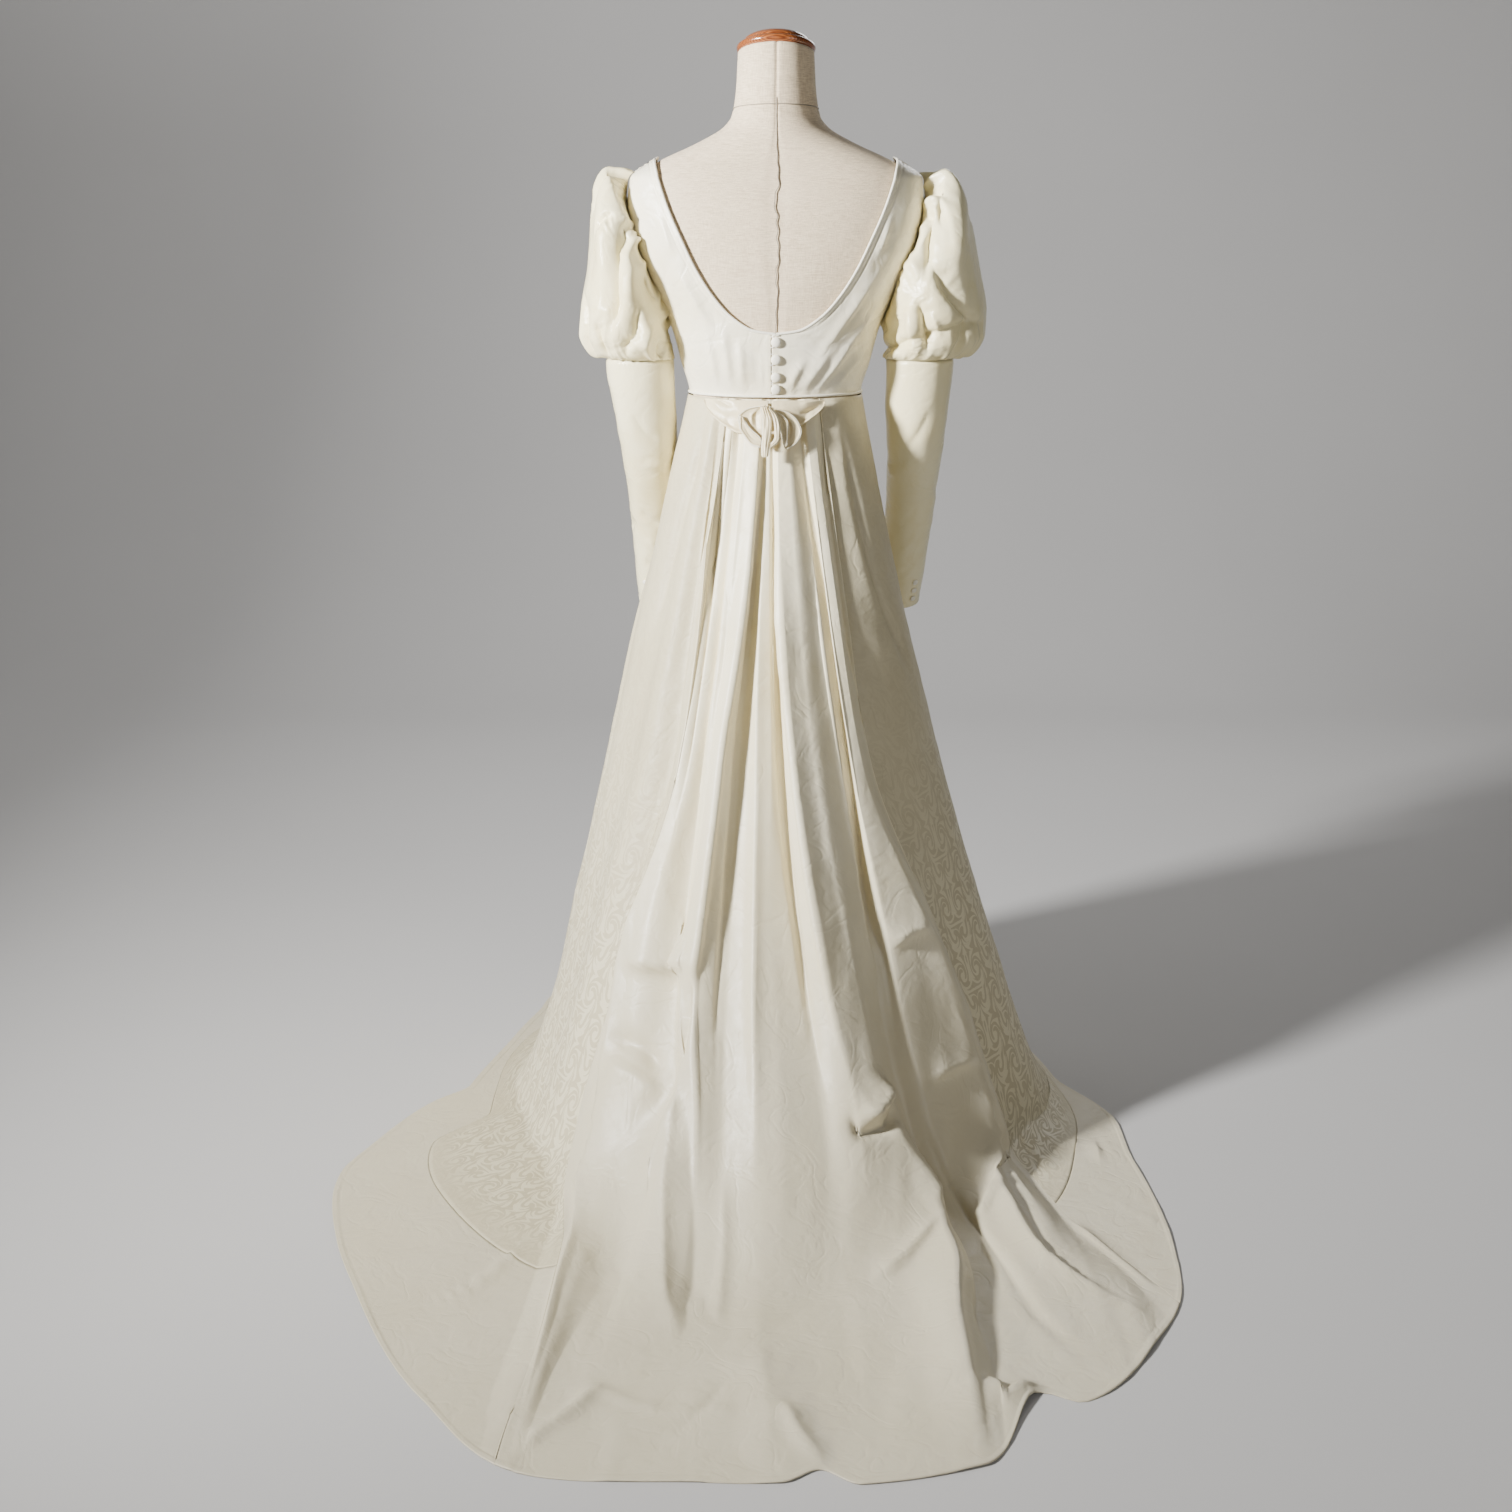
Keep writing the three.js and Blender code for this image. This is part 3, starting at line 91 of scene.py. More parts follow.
# Each fold: its direction and how far it stands out, at each station from the waist (0) to where
# the cloth lands (1) and its hem (2), and how sharply the cloth is creased there.
STATIONS = np.array([0, 0.12, 0.27, 0.45, 0.65, 0.85, 1.05, 1.45, 2])
FOLDS = [
    ("centre_front", [-180] * 9, [0, 2, 3, 4, 5, 4, 2, 1, 0], 0),
    ("front_flute_left", [-155] * 9, [0, 3, 8, 13, 16, 14, 8, 4, 0], 0),
    ("front_hollow_left", [-128, -129, -130, -131, -132, -132, -132, -132, -132],
     [0, -1, -3, -4, -5, -3, 0, 0, 0], 0),
    ("side_seam_left", [-105, -106, -107, -110, -114, -116, -117, -117, -117],
     [0, 3, 6, 8, 7, 5, 2, 0, 0], 0),
    ("gore_flute_left", [-84, -87, -90, -92, -92, -90, -88, -86, -86],
     [1, 6, 10, 10, 8, 6, 4, 2, 0], 0),
    ("gore_hollow_left", [-50, -60, -66, -70, -72, -70, -68, -66, -64],
     [-1, -3, -5, -4, -2, 0, 0, 0, 0], 0),
    ("gore_seam_left", [-42, -48, -52, -57, -60, -58, -52, -48, -44],
     [2, 5, 6, 6, 5, 4, 5, 5, 2], 0.2),
    ("gore_tuck_left", [-37, -40, -41, -47, -49, -44, -34, -26, -21],
     [-1, -7, -9, -8, -5, -1, 0, 0, 0], 0),
    ("back_edge_left", [-32, -34, -35.5, -43, -44.5, -39, -28.5, -21.6, -18],
     [3, 5, 8, 13, 16, 17, 15, 11, 2], 0.7),
    ("back_crest_left", [-27, -30, -32, -37, -36, -31, -25, -20.4, -17],
     [4, 6, 9, 13, 15, 16, 13, 8, 2], 0.2),
    ("back_valley_left", [-23, -25, -28, -27, -21.5, -20, -19, -18.4, -15.8],
     [-3, -6, -9, -10, -7, 0, 0, 0, 0], 0.2),
    ("pleat_slope_left", [-18, -20.5, -23.7, -23.4, -18.8, -17, -16, -15, -13.5],
     [3, 7, 10, 13, 8, 5, 4, 3, 1], 0.2),
    ("pleat_edge_left", [-9, -13.5, -19.5, -20, -15, -12, -11, -10, -9],
     [5, 11, 18, 20, 9, 5, 3, 1, 0], 0.8),
    ("box_wall_left", [-6.5, -10.2, -14, -13, -10, -8, -8, -7, -6],
     [-1, -7, -11, -9, -5, -2, 0, 0, 0], 0.3),
    ("box_strip", [-4, -3.8, -2, -2.5, -2, -2, -2, -2, -2], [0, -3, -4, -3, 3, 5, 4, 1, 1], 0.2),
    ("box_wall_right", [-2, -1, 1.8, 6.5, 9, 6.5, 4, 3, 2.4],
     [-1, -8, -12, -9, -3, 0, 0, 0, 0], 0.3),
    ("pleat_edge_right", [0.5, 2, 6, 11.5, 15, 13, 10, 8, 6],
     [4, 10, 16, 18, 16, 6, 3, 2, 1], 0.8),
    ("pleat_crest_right", [7, 10, 14, 19.5, 22, 25.5, 24, 18, 13],
     [5, 8, 11, 13, 16, 22, 21, 15, 3], 0.4),
    ("back_valley_right", [14.5, 19.8, 24.6, 28, 28, 29, 27.5, 21.8, 16],
     [-3, -7, -10, -10, -8, -2, 0, 0, 0], 0.2),
    ("back_lip_right", [18, 23, 27.5, 32, 33, 33, 31, 28.5, 26], [4, 7, 9, 9, 8, 9, 9, 9, 2], 0.3),
    ("back_edge_right", [23, 28, 32, 49, 56, 54.5, 45.5, 34.8, 33],
     [4, 7, 8, 14, 19, 22, 20, 16, 3], 0.6),
    ("gore_tuck_right", [29, 33, 38, 54, 60.5, 60, 52, 42, 38],
     [0, -2, -8, -12, -11, -3, 0, 0, 0], 0.2),
    ("gore_flute_right", [41, 52, 75, 84, 84, 79, 67, 58, 52], [4, 7, 10, 15, 19, 14, 6, 1, 0], 0),
    ("side_seam_right", [100, 101, 103, 105, 107, 108, 108, 108, 108],
     [0, 2, 4, 4, 3, 2, 1, 0, 0], 0),
    ("front_hollow_right", [130, 131, 132, 133, 134, 134, 134, 134, 134],
     [0, -1, -3, -4, -5, -3, 0, 0, 0], 0),
    ("front_flute_right", [155] * 9, [0, 3, 8, 13, 16, 14, 8, 4, 0], 0),
    ("centre_front_end", [180] * 9, [0, 2, 3, 4, 5, 4, 2, 1, 0], 0),
]
FOLD_AT = {name: i for i, (name, *_) in enumerate(FOLDS)}

# Where the damask gores end on the floor: direction, radius
DAMASK_HEM = np.array([
    (-132, 430), (-117, 424), (-90, 424), (-74, 440), (-66, 540), (-50, 590), (-20, 640),
    (38, 560), (62, 490), (70, 474), (90, 430), (108, 414),
])

# The bodice panels: height and half width at the neck edge, then at the armhole or side edge
BACK_ROWS = np.array([
    (1361, 163, 1343, 210), (1335, 156, 1318, 201), (1298, 143, 1285, 192), (1258, 125, 1250, 183),
    (1220, 106, 1215, 167), (1185, 83, 1180, 152), (1160, 60, 1152, 150), (1143, 34, 1128, 150),
    (1135, 6, 1104, 150), (1098, 6, 1080, 150), (1053, 6, 1053, 150),
])
FRONT_ROWS = np.array([
    (1361, 163, 1343, 210), (1333, 152, 1318, 198), (1304, 138, 1285, 188), (1276, 120, 1250, 177),
    (1250, 96, 1215, 163), (1228, 66, 1180, 151), (1213, 34, 1152, 150), (1208, 0, 1128, 150),
    (1160, 0, 1104, 150), (1105, 0, 1080, 150), (1053, 0, 1053, 150),
])
SIDE_SEAM = 89.4
UNDERARM_ROW = 6.0

# The puffed sleeve heads: station, the ring's highest and lowest point on the right and on the left,
# its heights there, its half depth
PUFF_RINGS = np.array([
    (0, 210, 146, 210, 146, 1343, 1150, 55), (0.1, 232, 150, 229, 149, 1350, 1144, 66),
    (0.25, 256, 151, 248, 149, 1323, 1136, 77), (0.42, 268, 150, 253, 147, 1274, 1128, 83),
    (0.6, 280, 149, 260, 145, 1215, 1119, 85), (0.76, 290, 148, 269, 143, 1163, 1111, 82),
    (0.88, 289, 147, 270, 142, 1132, 1104, 75), (0.95, 273, 149, 257, 141, 1108, 1099, 62),
    (1, 251, 152, 236, 141, 1099, 1098, 50),
])

# The lower sleeves: height, the middle on the right and on the left, how far forward, radius
SLEEVE_RINGS = np.array([
    (722, 193, 176, 170, 29.5), (770, 196, 177, 148, 31.5), (830, 198, 177, 118, 34),
    (890, 200, 177, 84, 36), (940, 200, 178, 52, 38), (985, 200, 180, 26, 41),
    (1030, 200, 184, 9, 44.5), (1070, 201, 187.5, 2, 46.5), (1095.5, 201.5, 188.5, 0, 47.5),
])


# ---- Curves and grids ----
def curve(keys, values, at):
    """A smooth curve through a table's column that never swings past its rows."""
    keys = np.asarray(keys, float)
    values = np.asarray(values, float)
    at = np.clip(at, keys[0], keys[-1])
    slope = np.diff(values) / np.diff(keys)
    product = slope[:-1] * slope[1:]
    total = np.where(product > 0, slope[:-1] + slope[1:], 1)
    inner = np.where(product > 0, 2 * product / total, 0)
    tangent = np.concatenate([slope[:1], inner, slope[-1:]])
    i = np.clip(np.searchsorted(keys, at, side="left") - 1, 0, len(keys) - 2)
    span = keys[i + 1] - keys[i]
    f = (at - keys[i]) / span
    stay = (1 + 2 * f) * (1 - f) ** 2
    leave = f * (1 - f) ** 2 * span
    arrive = f * f * (f - 1) * span
    ends = stay * values[i] + (1 - stay) * values[i + 1]
    return ends + leave * tangent[i] + arrive * tangent[i + 1]


def columns_of(table, at):
    return [curve(table[:, 0], table[:, c], at) for c in range(1, table.shape[1])]


def smoothstep(x, low, high):
    f = np.clip((np.asarray(x, float) - low) / (high - low), 0, 1)
    return f * f * (3 - 2 * f)


def unit(v):
    return v / np.maximum(np.linalg.norm(v, axis=-1, keepdims=True), 1e-9)


def stack(x, y, z):
    return np.stack(np.broadcast_arrays(x, y, z), axis=-1).astype(float)


def grid_normals(grid, wrap=False):
    """Unit normals of a grid whose rows go down the piece and whose columns go round it."""
    if wrap:
        across = np.roll(grid, -1, axis=1) - np.roll(grid, 1, axis=1)
    else:
        across = np.gradient(grid, axis=1)
    return unit(np.cross(np.gradient(grid, axis=0), across))


# ---- The torso ----
def section_point(z, angle):
    half, back, front, square = columns_of(BODY_SECTIONS, z)
    sine, cosine = np.sin(np.radians(angle)), np.cos(np.radians(angle))
    power = 2 / square
    x = half * np.sign(sine) * np.abs(sine) ** power
    y = -np.where(cosine > 0, back, front) * np.sign(cosine) * np.abs(cosine) ** power
    return stack(x, y, z)


def body_point(z, angle, distance):
    down = section_point(z - 1, angle) - section_point(z + 1, angle)
    across = section_point(z, angle + 0.5) - section_point(z, angle - 0.5)
    return section_point(z, angle) + unit(np.cross(down, across)) * np.asarray(distance)[..., None]


def angle_at(z, x):
    half, _, _, square = columns_of(BODY_SECTIONS, z)
    sine = np.minimum(1, (np.abs(x) / half) ** (square / 2))
    return np.minimum(SIDE_SEAM, np.degrees(np.arcsin(sine)))


def panel_edges(rows, row, front):
    index = np.arange(len(rows))
    neck_z, neck_x, edge_z, edge_x = [curve(index, rows[:, c], row) for c in range(4)]
    neck = angle_at(neck_z, np.maximum(neck_x, 0))
    edge = angle_at(edge_z, edge_x)
    if front:
        neck, edge = 180 - neck, 180 - edge
    return neck_z, neck, edge_z, edge


# ---- The skirt ----
def fall_point(angle, station):
    land, hem, flare = columns_of(SKIRT_PLAN, angle)
    sine, cosine = np.sin(np.radians(angle)), -np.cos(np.radians(angle))
    back = cosine < 0
    s = np.minimum(station, 1)
    knee = 1 - (KNEE_HEIGHT / WAIST_HEIGHT) ** (1 / flare)
    at_waist = (s - knee) * (s - 1) / knee
    at_knee = s * (s - 1) / (knee * (knee - 1))
    at_floor = s * (s - knee) / (1 - knee)
    x = at_waist * WAIST["half"] + at_knee * KNEE["half"] + at_floor * land
    y = (at_waist * np.where(back, WAIST["back"], WAIST["front"])
         + at_knee * np.where(back, KNEE["back"], KNEE["front"]) + at_floor * land)
    z = WAIST_HEIGHT * (1 - s) ** flare
    radius = land + (hem - land) * (station - 1)
    x, y = np.where(station >= 1, radius, x), np.where(station >= 1, radius, y)
    return stack(x * sine, y * cosine, z)


def fall_normal(angle, station):
    down = fall_point(angle, station + 0.01) - fall_point(angle, np.maximum(station - 0.01, 0))
    across = fall_point(angle + 0.5, station) - fall_point(angle - 0.5, station)
    return unit(np.cross(down, across))


FOLD_ANGLES = np.array([fold[1] for fold in FOLDS], float)
FOLD_HEIGHTS = np.array([fold[2] for fold in FOLDS], float)
FOLD_SHARP = np.array([fold[3] for fold in FOLDS], float)


def fold_values(table, station):
    """A table's value of every fold at every station."""
    return np.stack([curve(STATIONS, row, station) for row in table])


def skirt_base(fold, station):
    """Points of the skirt, without small creases. fold counts the folds from the centre front."""
    fold, station = np.broadcast_arrays(np.asarray(fold, float), np.asarray(station, float))
    i = np.clip(np.floor(fold).astype(int), 0, len(FOLDS) - 2)
    f = fold - i
    flat, where = np.unique(station, return_inverse=True)
    where = where.reshape(station.shape)
    angles, heights = fold_values(FOLD_ANGLES, flat), fold_values(FOLD_HEIGHTS, flat)
    angle = angles[i, where] * (1 - f) + angles[i + 1, where] * f
    fade = 1 - 0.7 * smoothstep(station, 0.9, 1.2)
    sharp = (FOLD_SHARP[i] * (1 - f) + FOLD_SHARP[i + 1] * f) * fade
    ease = (1 - sharp) * (1 - np.cos(np.pi * f)) / 2 + sharp * f
    height = heights[i, where] * (1 - ease) + heights[i + 1, where] * ease
    point = fall_point(angle, station) + fall_normal(angle, station) * height[..., None]
    point[..., 2] = np.maximum(point[..., 2], CLOTH)
    return point


def damask_end(fold):
    """The station at which the damask ends, past which lies the train's plain cloth."""
    fold = np.asarray(fold, float)
    low, high = np.ones_like(fold), np.full_like(fold, 2.0)
    for _ in range(24):
        middle = (low + high) / 2
        p = skirt_base(fold, middle)
        edge = curve(DAMASK_HEM[:, 0], DAMASK_HEM[:, 1], np.degrees(np.arctan2(p[..., 0], -p[..., 1])))
        inside = np.hypot(p[..., 0], p[..., 1]) < edge
        low, high = np.where(inside, middle, low), np.where(inside, high, middle)
    return low


# ---- Small unevenness, folds and creases ----
def lumps(points, size, seed):
    """Smooth uneven values between -1 and 1, whose bumps are about size apart."""
    p = np.asarray(points, float) / size + 100.5 * seed
    cell = np.floor(p).astype(np.int64)
    f = p - cell
    f = f * f * (3 - 2 * f)
    total = np.zeros(p.shape[:-1])
    for corner in range(2 ** p.shape[-1]):
        weight = np.ones(p.shape[:-1])
        mixed = np.full(p.shape[:-1], 374761393 * (seed + 1), np.int64)
        for axis in range(p.shape[-1]):
            bit = (corner >> axis) & 1
            weight = weight * (f[..., axis] if bit else 1 - f[..., axis])
            mixed = (mixed ^ ((cell[..., axis] + bit) * (668265263 + 2 * axis))) * 1274126177 % 2147483647
            mixed = mixed ^ (mixed >> 13)
        total += weight * ((mixed % 65536) / 32767.5 - 1)
    return total


def rumple(across, along, seed, stretch=4.0, size=34.0):
    """Long shallow ripples down the cloth with smaller unevenness on them, about 1 high."""
    long_way = np.stack([across / size, along / (size * stretch)], axis=-1)
    all_ways = np.stack([across, along], axis=-1)
    soft = lumps(long_way, 1.0, seed) + 0.5 * lumps(long_way * 2.1, 1.0, seed + 1)
    broken = 0.6 - np.abs(lumps(all_ways, size * 1.7, seed + 2)) * 1.6
    fine = lumps(all_ways, size * 0.45, seed + 3)
    return 0.55 * soft + 0.3 * broken + 0.12 * fine


def crease_heights(points, normals, line, height, before, after, taper=0.3, power=1.25):
    """Height of a crease along a line over a grid, with its own width on each side of the line.

    A power near 1 makes a crisp fold, and 2 a round one."""
    line = np.asarray(line, float)
    heights = np.zeros(points.shape[:-1])
    reach = 3.4 * max(before, after)
    near = np.all((points > line.min(0) - reach) & (points < line.max(0) + reach), axis=-1)
    p, n = points[near], normals[near]
    if not len(p):
        return heights
    lengths = np.concatenate([[0], np.cumsum(np.linalg.norm(np.diff(line, axis=0), axis=1))])
    best = np.full(len(p), 1e9)
    side, along = np.zeros(len(p)), np.zeros(len(p))
    for i in range(len(line) - 1):
        step = line[i + 1] - line[i]
        if not step @ step:
            continue
        t = np.clip((p - line[i]) @ step / (step @ step), 0, 1)
        away = p - line[i] - t[:, None] * step
        distance = np.linalg.norm(away, axis=1)
        closer = distance < best
        best = np.where(closer, distance, best)
        turned = np.sum(np.cross(n, step) * away, axis=1)
        side = np.where(closer, turned, side)
        along = np.where(closer, lengths[i] + t * np.linalg.norm(step), along)
    share = along / lengths[-1]
    ends = smoothstep(share, 0, taper) * smoothstep(1 - share, 0, taper) if taper else 1.0
    width = np.where(side > 0, after, before)
    heights[near] = height * np.exp(-((best / width) ** power)) * ends
    return heights


def smooth_line(points, count=24):
    """A smooth run through a few points of a table row."""
    points = np.asarray(points, float)
    keys = np.concatenate([[0], np.cumsum(np.linalg.norm(np.diff(points, axis=0), axis=1) + 1e-6)])
    at = np.linspace(0, keys[-1], count)
    return np.stack([curve(keys, points[:, c], at) for c in range(points.shape[1])], axis=-1)


def creases_over(grid, normals, creases, point, taper=0.3, power=1.25):
    """Height of a table's creases over a grid. point gives where each place of their lines lies."""
    height = np.zeros(grid.shape[:-1])
    for rise, before, after, line in creases:
        laid = point(*smooth_line(line).T)
        height += crease_heights(grid, normals, laid, rise, before, after, taper, power)
    return height


def runs(*spans):
    """Evenly spaced values over spans that follow each other, each with its start, end and count."""
    parts = [np.linspace(*span)[:-1] for span in spans]
    return np.append(np.concatenate(parts), spans[-1][1])


# ---- Meshes ----
TAPER = 0.35  # how much of its thickness a cord has at its ends


def new_object(name, vertices, faces):
    mesh = bpy.data.meshes.new(name)
    mesh.from_pydata((np.asarray(vertices).reshape(-1, 3) * MM).tolist(), [], faces)
    mesh.update()
    mesh.shade_smooth()
    piece = bpy.data.objects.new(name, mesh)
    bpy.context.scene.collection.objects.link(piece)
    return piece


def read_vertices(piece):
    return np.array([v.co for v in piece.data.vertices]) / MM


def write_vertices(piece, places):
    piece.data.vertices.foreach_set("co", (places * MM).astype(np.float32).ravel())
    piece.data.update()


def grid_faces(rows, columns, wrap, start=0, flipped=False):
    i, j = np.meshgrid(np.arange(rows - 1), np.arange(columns if wrap else columns - 1), indexing="ij")
    k = (j + 1) % columns
    quad = np.stack([i * columns + j, (i + 1) * columns + j, (i + 1) * columns + k, i * columns + k], -1)
    quad = quad.reshape(-1, 4) + start
    return (quad[:, ::-1] if flipped else quad).tolist()


def ring_faces(rows, sides, downwards=False):
    """Faces of rings of points, one above the other unless downwards, with both ends filled."""
    first, last = list(range(sides)), [(rows - 1) * sides + j for j in range(sides)]
    ends = [first, last[::-1]] if downwards else [first[::-1], last]
    return grid_faces(rows, sides, True, flipped=not downwards) + ends


def set_cloth_map(piece, across, along):
    """The cloth's own flat coordinates, in metres, which its weave and pattern follow."""
    layer = piece.data.uv_layers.new(name="cloth")
    loops = np.empty(len(piece.data.loops), np.int64)
    piece.data.loops.foreach_get("vertex_index", loops)
    flat = np.stack([np.tile(across.ravel(), 2), np.tile(along.ravel(), 2)], -1) * MM
    layer.data.foreach_set("uv", flat[loops].astype(np.float32).ravel())


def flat_map(grid):
    """Distances across and along a grid, from its middle column and its first row."""
    down = np.linalg.norm(np.diff(grid, axis=0), axis=-1)
    along = np.concatenate([np.zeros((1, grid.shape[1])), np.cumsum(down, axis=0)])
    over = np.linalg.norm(np.diff(grid, axis=1), axis=-1)
    across = np.concatenate([np.zeros((grid.shape[0], 1)), np.cumsum(over, axis=1)], axis=1)
    middle = grid.shape[1] // 2
    return across - across[:, middle : middle + 1], along


def shell(name, outer, thickness=CLOTH, wrap=False):
    """A cloth piece between a grid and the same grid moved in by the cloth's thickness."""
    rows, columns = outer.shape[:2]
    inner = outer - grid_normals(outer, wrap) * thickness
    inner[..., 2] = np.maximum(inner[..., 2], OFF_FLOOR)
    count = rows * columns
    index = np.arange(count).reshape(rows, columns)
    if wrap:
        edges = [index[0], index[-1, ::-1]]
    else:
        edges = [np.concatenate([index[0], index[1:, -1], index[-1, -2::-1], index[-2:0:-1, 0]])]
    faces = grid_faces(rows, columns, wrap) + grid_faces(rows, columns, wrap, count, True)
    for edge in edges:
        ahead = np.roll(edge, -1)
        faces += np.stack([edge, ahead, ahead + count, edge + count], -1).tolist()
    piece = new_object(name, np.stack([outer, inner]), faces)
    set_cloth_map(piece, *flat_map(outer))
    return piece


def tube(name, line, radius, sides=8, closed=False):
    """A round cord or thread along a line of points, tapered at its ends unless it is closed."""
    line = np.asarray(line, float)
    step = np.roll(line, -1, axis=0) - np.roll(line, 1, axis=0) if closed else np.gradient(line, axis=0)
    step = unit(step)
    across = np.empty_like(step)
    side = np.cross(step[0], [0.3, 0.2, 1.0])
    for i, s in enumerate(step):
        side = side - s * (side @ s)
        side = side / np.linalg.norm(side)
        across[i] = side
    up = np.cross(step, across)
    radii = np.full(len(line), float(radius))
    if not closed:
        radii[0] = radii[-1] = radius * TAPER
    turn = np.radians(np.arange(sides) * 360 / sides)
    ring = across[:, None] * np.cos(turn)[None, :, None] + up[:, None] * np.sin(turn)[None, :, None]
    grid = line[:, None] + ring * radii[:, None, None]
    faces = ring_faces(len(line), sides)
    if closed:
        # The faces past the last ring come back to the first.
        faces = grid_faces(len(line) + 1, sides, True, flipped=True)
        faces = (np.array(faces) % (len(line) * sides)).tolist()
    return new_object(name, grid, faces)


def lathe(name, profile, segments):
    """A turned body: profile rows are radius and height, from the bottom up."""
    profile = np.asarray(profile, float)
    turn = np.radians(np.arange(segments) * 360 / segments)
    grid = stack(profile[:, :1] * np.cos(turn), profile[:, :1] * np.sin(turn), profile[:, 1:])
    return new_object(name, grid, ring_faces(len(profile), segments))


def joined(name, pieces):
    """Several objects as one, under the first one's mesh."""
    whole = pieces[0]
    chosen = {"selected_objects": pieces, "selected_editable_objects": pieces}
    with bpy.context.temp_override(active_object=whole, object=whole, **chosen):
        bpy.ops.object.join()
    whole.name = whole.data.name = name
    return whole


def mirrored(grid):
    """The same grid on the other side of the body."""
    flipped = grid[:, ::-1].copy()
    flipped[..., 0] *= -1
    return flipped


# ---- Materials ----
class Value:
    """What a node gives, which can be reckoned with as a number can."""

    def __init__(self, maker, socket):
        self.maker = maker
        self.socket = socket

    def math(self, operation, *others, clamp=False):
        inputs = dict(enumerate((self, *others)))
        return self.maker.add("Math", inputs, operation=operation, use_clamp=clamp)

    __add__ = partialmethod(math, "ADD")
    __sub__ = partialmethod(math, "SUBTRACT")
    __mul__ = partialmethod(math, "MULTIPLY")
    __truediv__ = partialmethod(math, "DIVIDE")
    fraction = partialmethod(math, "FRACT")
    size = partialmethod(math, "ABSOLUTE")
    sine = partialmethod(math, "SINE")

    def ranged(self, low, high, to_low=0.0, to_high=1.0):
        inputs = {"Value": self, "From Min": low, "From Max": high, "To Min": to_low, "To Max": to_high}
        return self.maker.add("MapRange", inputs, clamp=True, interpolation_type="SMOOTHSTEP")

    def blend(self, first, second):
        """A colour between two, by this share."""
        inputs = {0: self, 6: first, 7: second}
        return self.maker.add("Mix", inputs, 2, data_type="RGBA", clamp_factor=True)

    def stretched(self, *scale):
        return self.maker.add("Mapping", {"Vector": self, "Scale": scale})

    def noise(self, scale, detail=3.0, roughness=0.5, distortion=0.0):
        inputs = {"Vector": self, "Scale": scale, "Detail": detail, "Roughness": roughness}
        return self.maker.add("TexNoise", {**inputs, "Distortion": distortion}, "Fac")

    def waves(self, direction, scale, distortion, detail, detail_scale=1.0):
        inputs = {"Vector": self, "Scale": scale, "Distortion": distortion, "Detail": detail}
        inputs["Detail Scale"] = detail_scale
        return self.maker.add("TexWave", inputs, "Fac", wave_type="BANDS", bands_direction=direction)


class Maker:
    """A new material and its nodes. normal is its surface with the bumps laid on it so far."""

    def __init__(self, name):
        self.material = bpy.data.materials.new(name)
        self.material.use_nodes = True
        self.tree = self.material.node_tree
        self.tree.nodes.clear()
        self.place = self.add("TexCoord", output="Object")
        self.normal = None

    def add(self, kind, inputs=None, output=0, **settings):
        node = self.tree.nodes.new("ShaderNode" + kind)
        for key, value in settings.items():
            setattr(node, key, value)
        for key, value in (inputs or {}).items():
            if isinstance(value, Value):
                self.tree.links.new(value.socket, node.inputs[key])
            else:
                node.inputs[key].default_value = value
        return Value(self, node.outputs[output])

    def bump(self, height, distance, strength):
        inputs = {"Height": height, "Distance": distance, "Strength": strength}
        if self.normal:
            inputs["Normal"] = self.normal
        self.normal = self.add("Bump", inputs)

    def done(self, colour, roughness, **others):
        inputs = {"Base Color": colour, "Roughness": roughness}
        inputs.update({key.replace("_", " "): value for key, value in others.items()})
        if self.normal:
            inputs["Normal"] = self.normal
        surface = self.add("BsdfPrincipled", inputs)
        output = self.tree.nodes.new("ShaderNodeOutputMaterial")
        self.tree.links.new(surface.socket, output.inputs["Surface"])
        return self.material


def rgb(r, g, b):
    return (r, g, b, 1.0)


SCROLL_WIDTH = 0.072
SCROLL_HEIGHT = 0.104
# centre across and along the repeat, twist, spread
SCROLL_CURLS = [(0.26, -0.22, 4.2, 0.17), (0.17, 0.2, -3.9, 0.15), (0.40, 0.02, 2.8, 0.11)]
SCROLL_DARK, SCROLL_LIGHT = rgb(0.50, 0.44, 0.295), rgb(0.73, 0.67, 0.48)
# Painted shade: the colour that the skirt's satins are darkened to towards the floor.
PAINTED_FLOOR_SHADE = rgb(0.50, 0.45, 0.335)


def scrolls(maker, cloth):
    """A half-drop damask of curling leaves, as a mask between 0 and 1."""
    across, along = [maker.add("SeparateXYZ", {0: cloth}, axis) for axis in (0, 1)]
    across = across / SCROLL_WIDTH
    along = along / SCROLL_HEIGHT + across.math("FLOOR") * 0.5
    x = (across.fraction() - 0.5).size() + (cloth.noise(16.0, 2.0) - 0.5) * 0.06
    y = along.fraction() - 0.5
    for centre_x, centre_y, twist, spread in SCROLL_CURLS:
        x, y = x - centre_x, y - centre_y
        angle = ((x * x + y * y) / (-spread * spread)).math("EXPONENT") * twist
        cosine, sine = angle.math("COSINE"), angle.sine()
        x, y = x * cosine - y * sine + centre_x, x * sine + y * cosine + centre_y
    leaf = (x * 26.0 + (y * 19.0).sine() * 1.5).sine()
    vein = (y * 31.0 + x * 11.0).sine()
    broken = (cloth.noise(105.0, 2.0) - 0.5) * 1.5
    return (leaf + vein * 0.55 + broken).ranged(-0.06, 0.14)


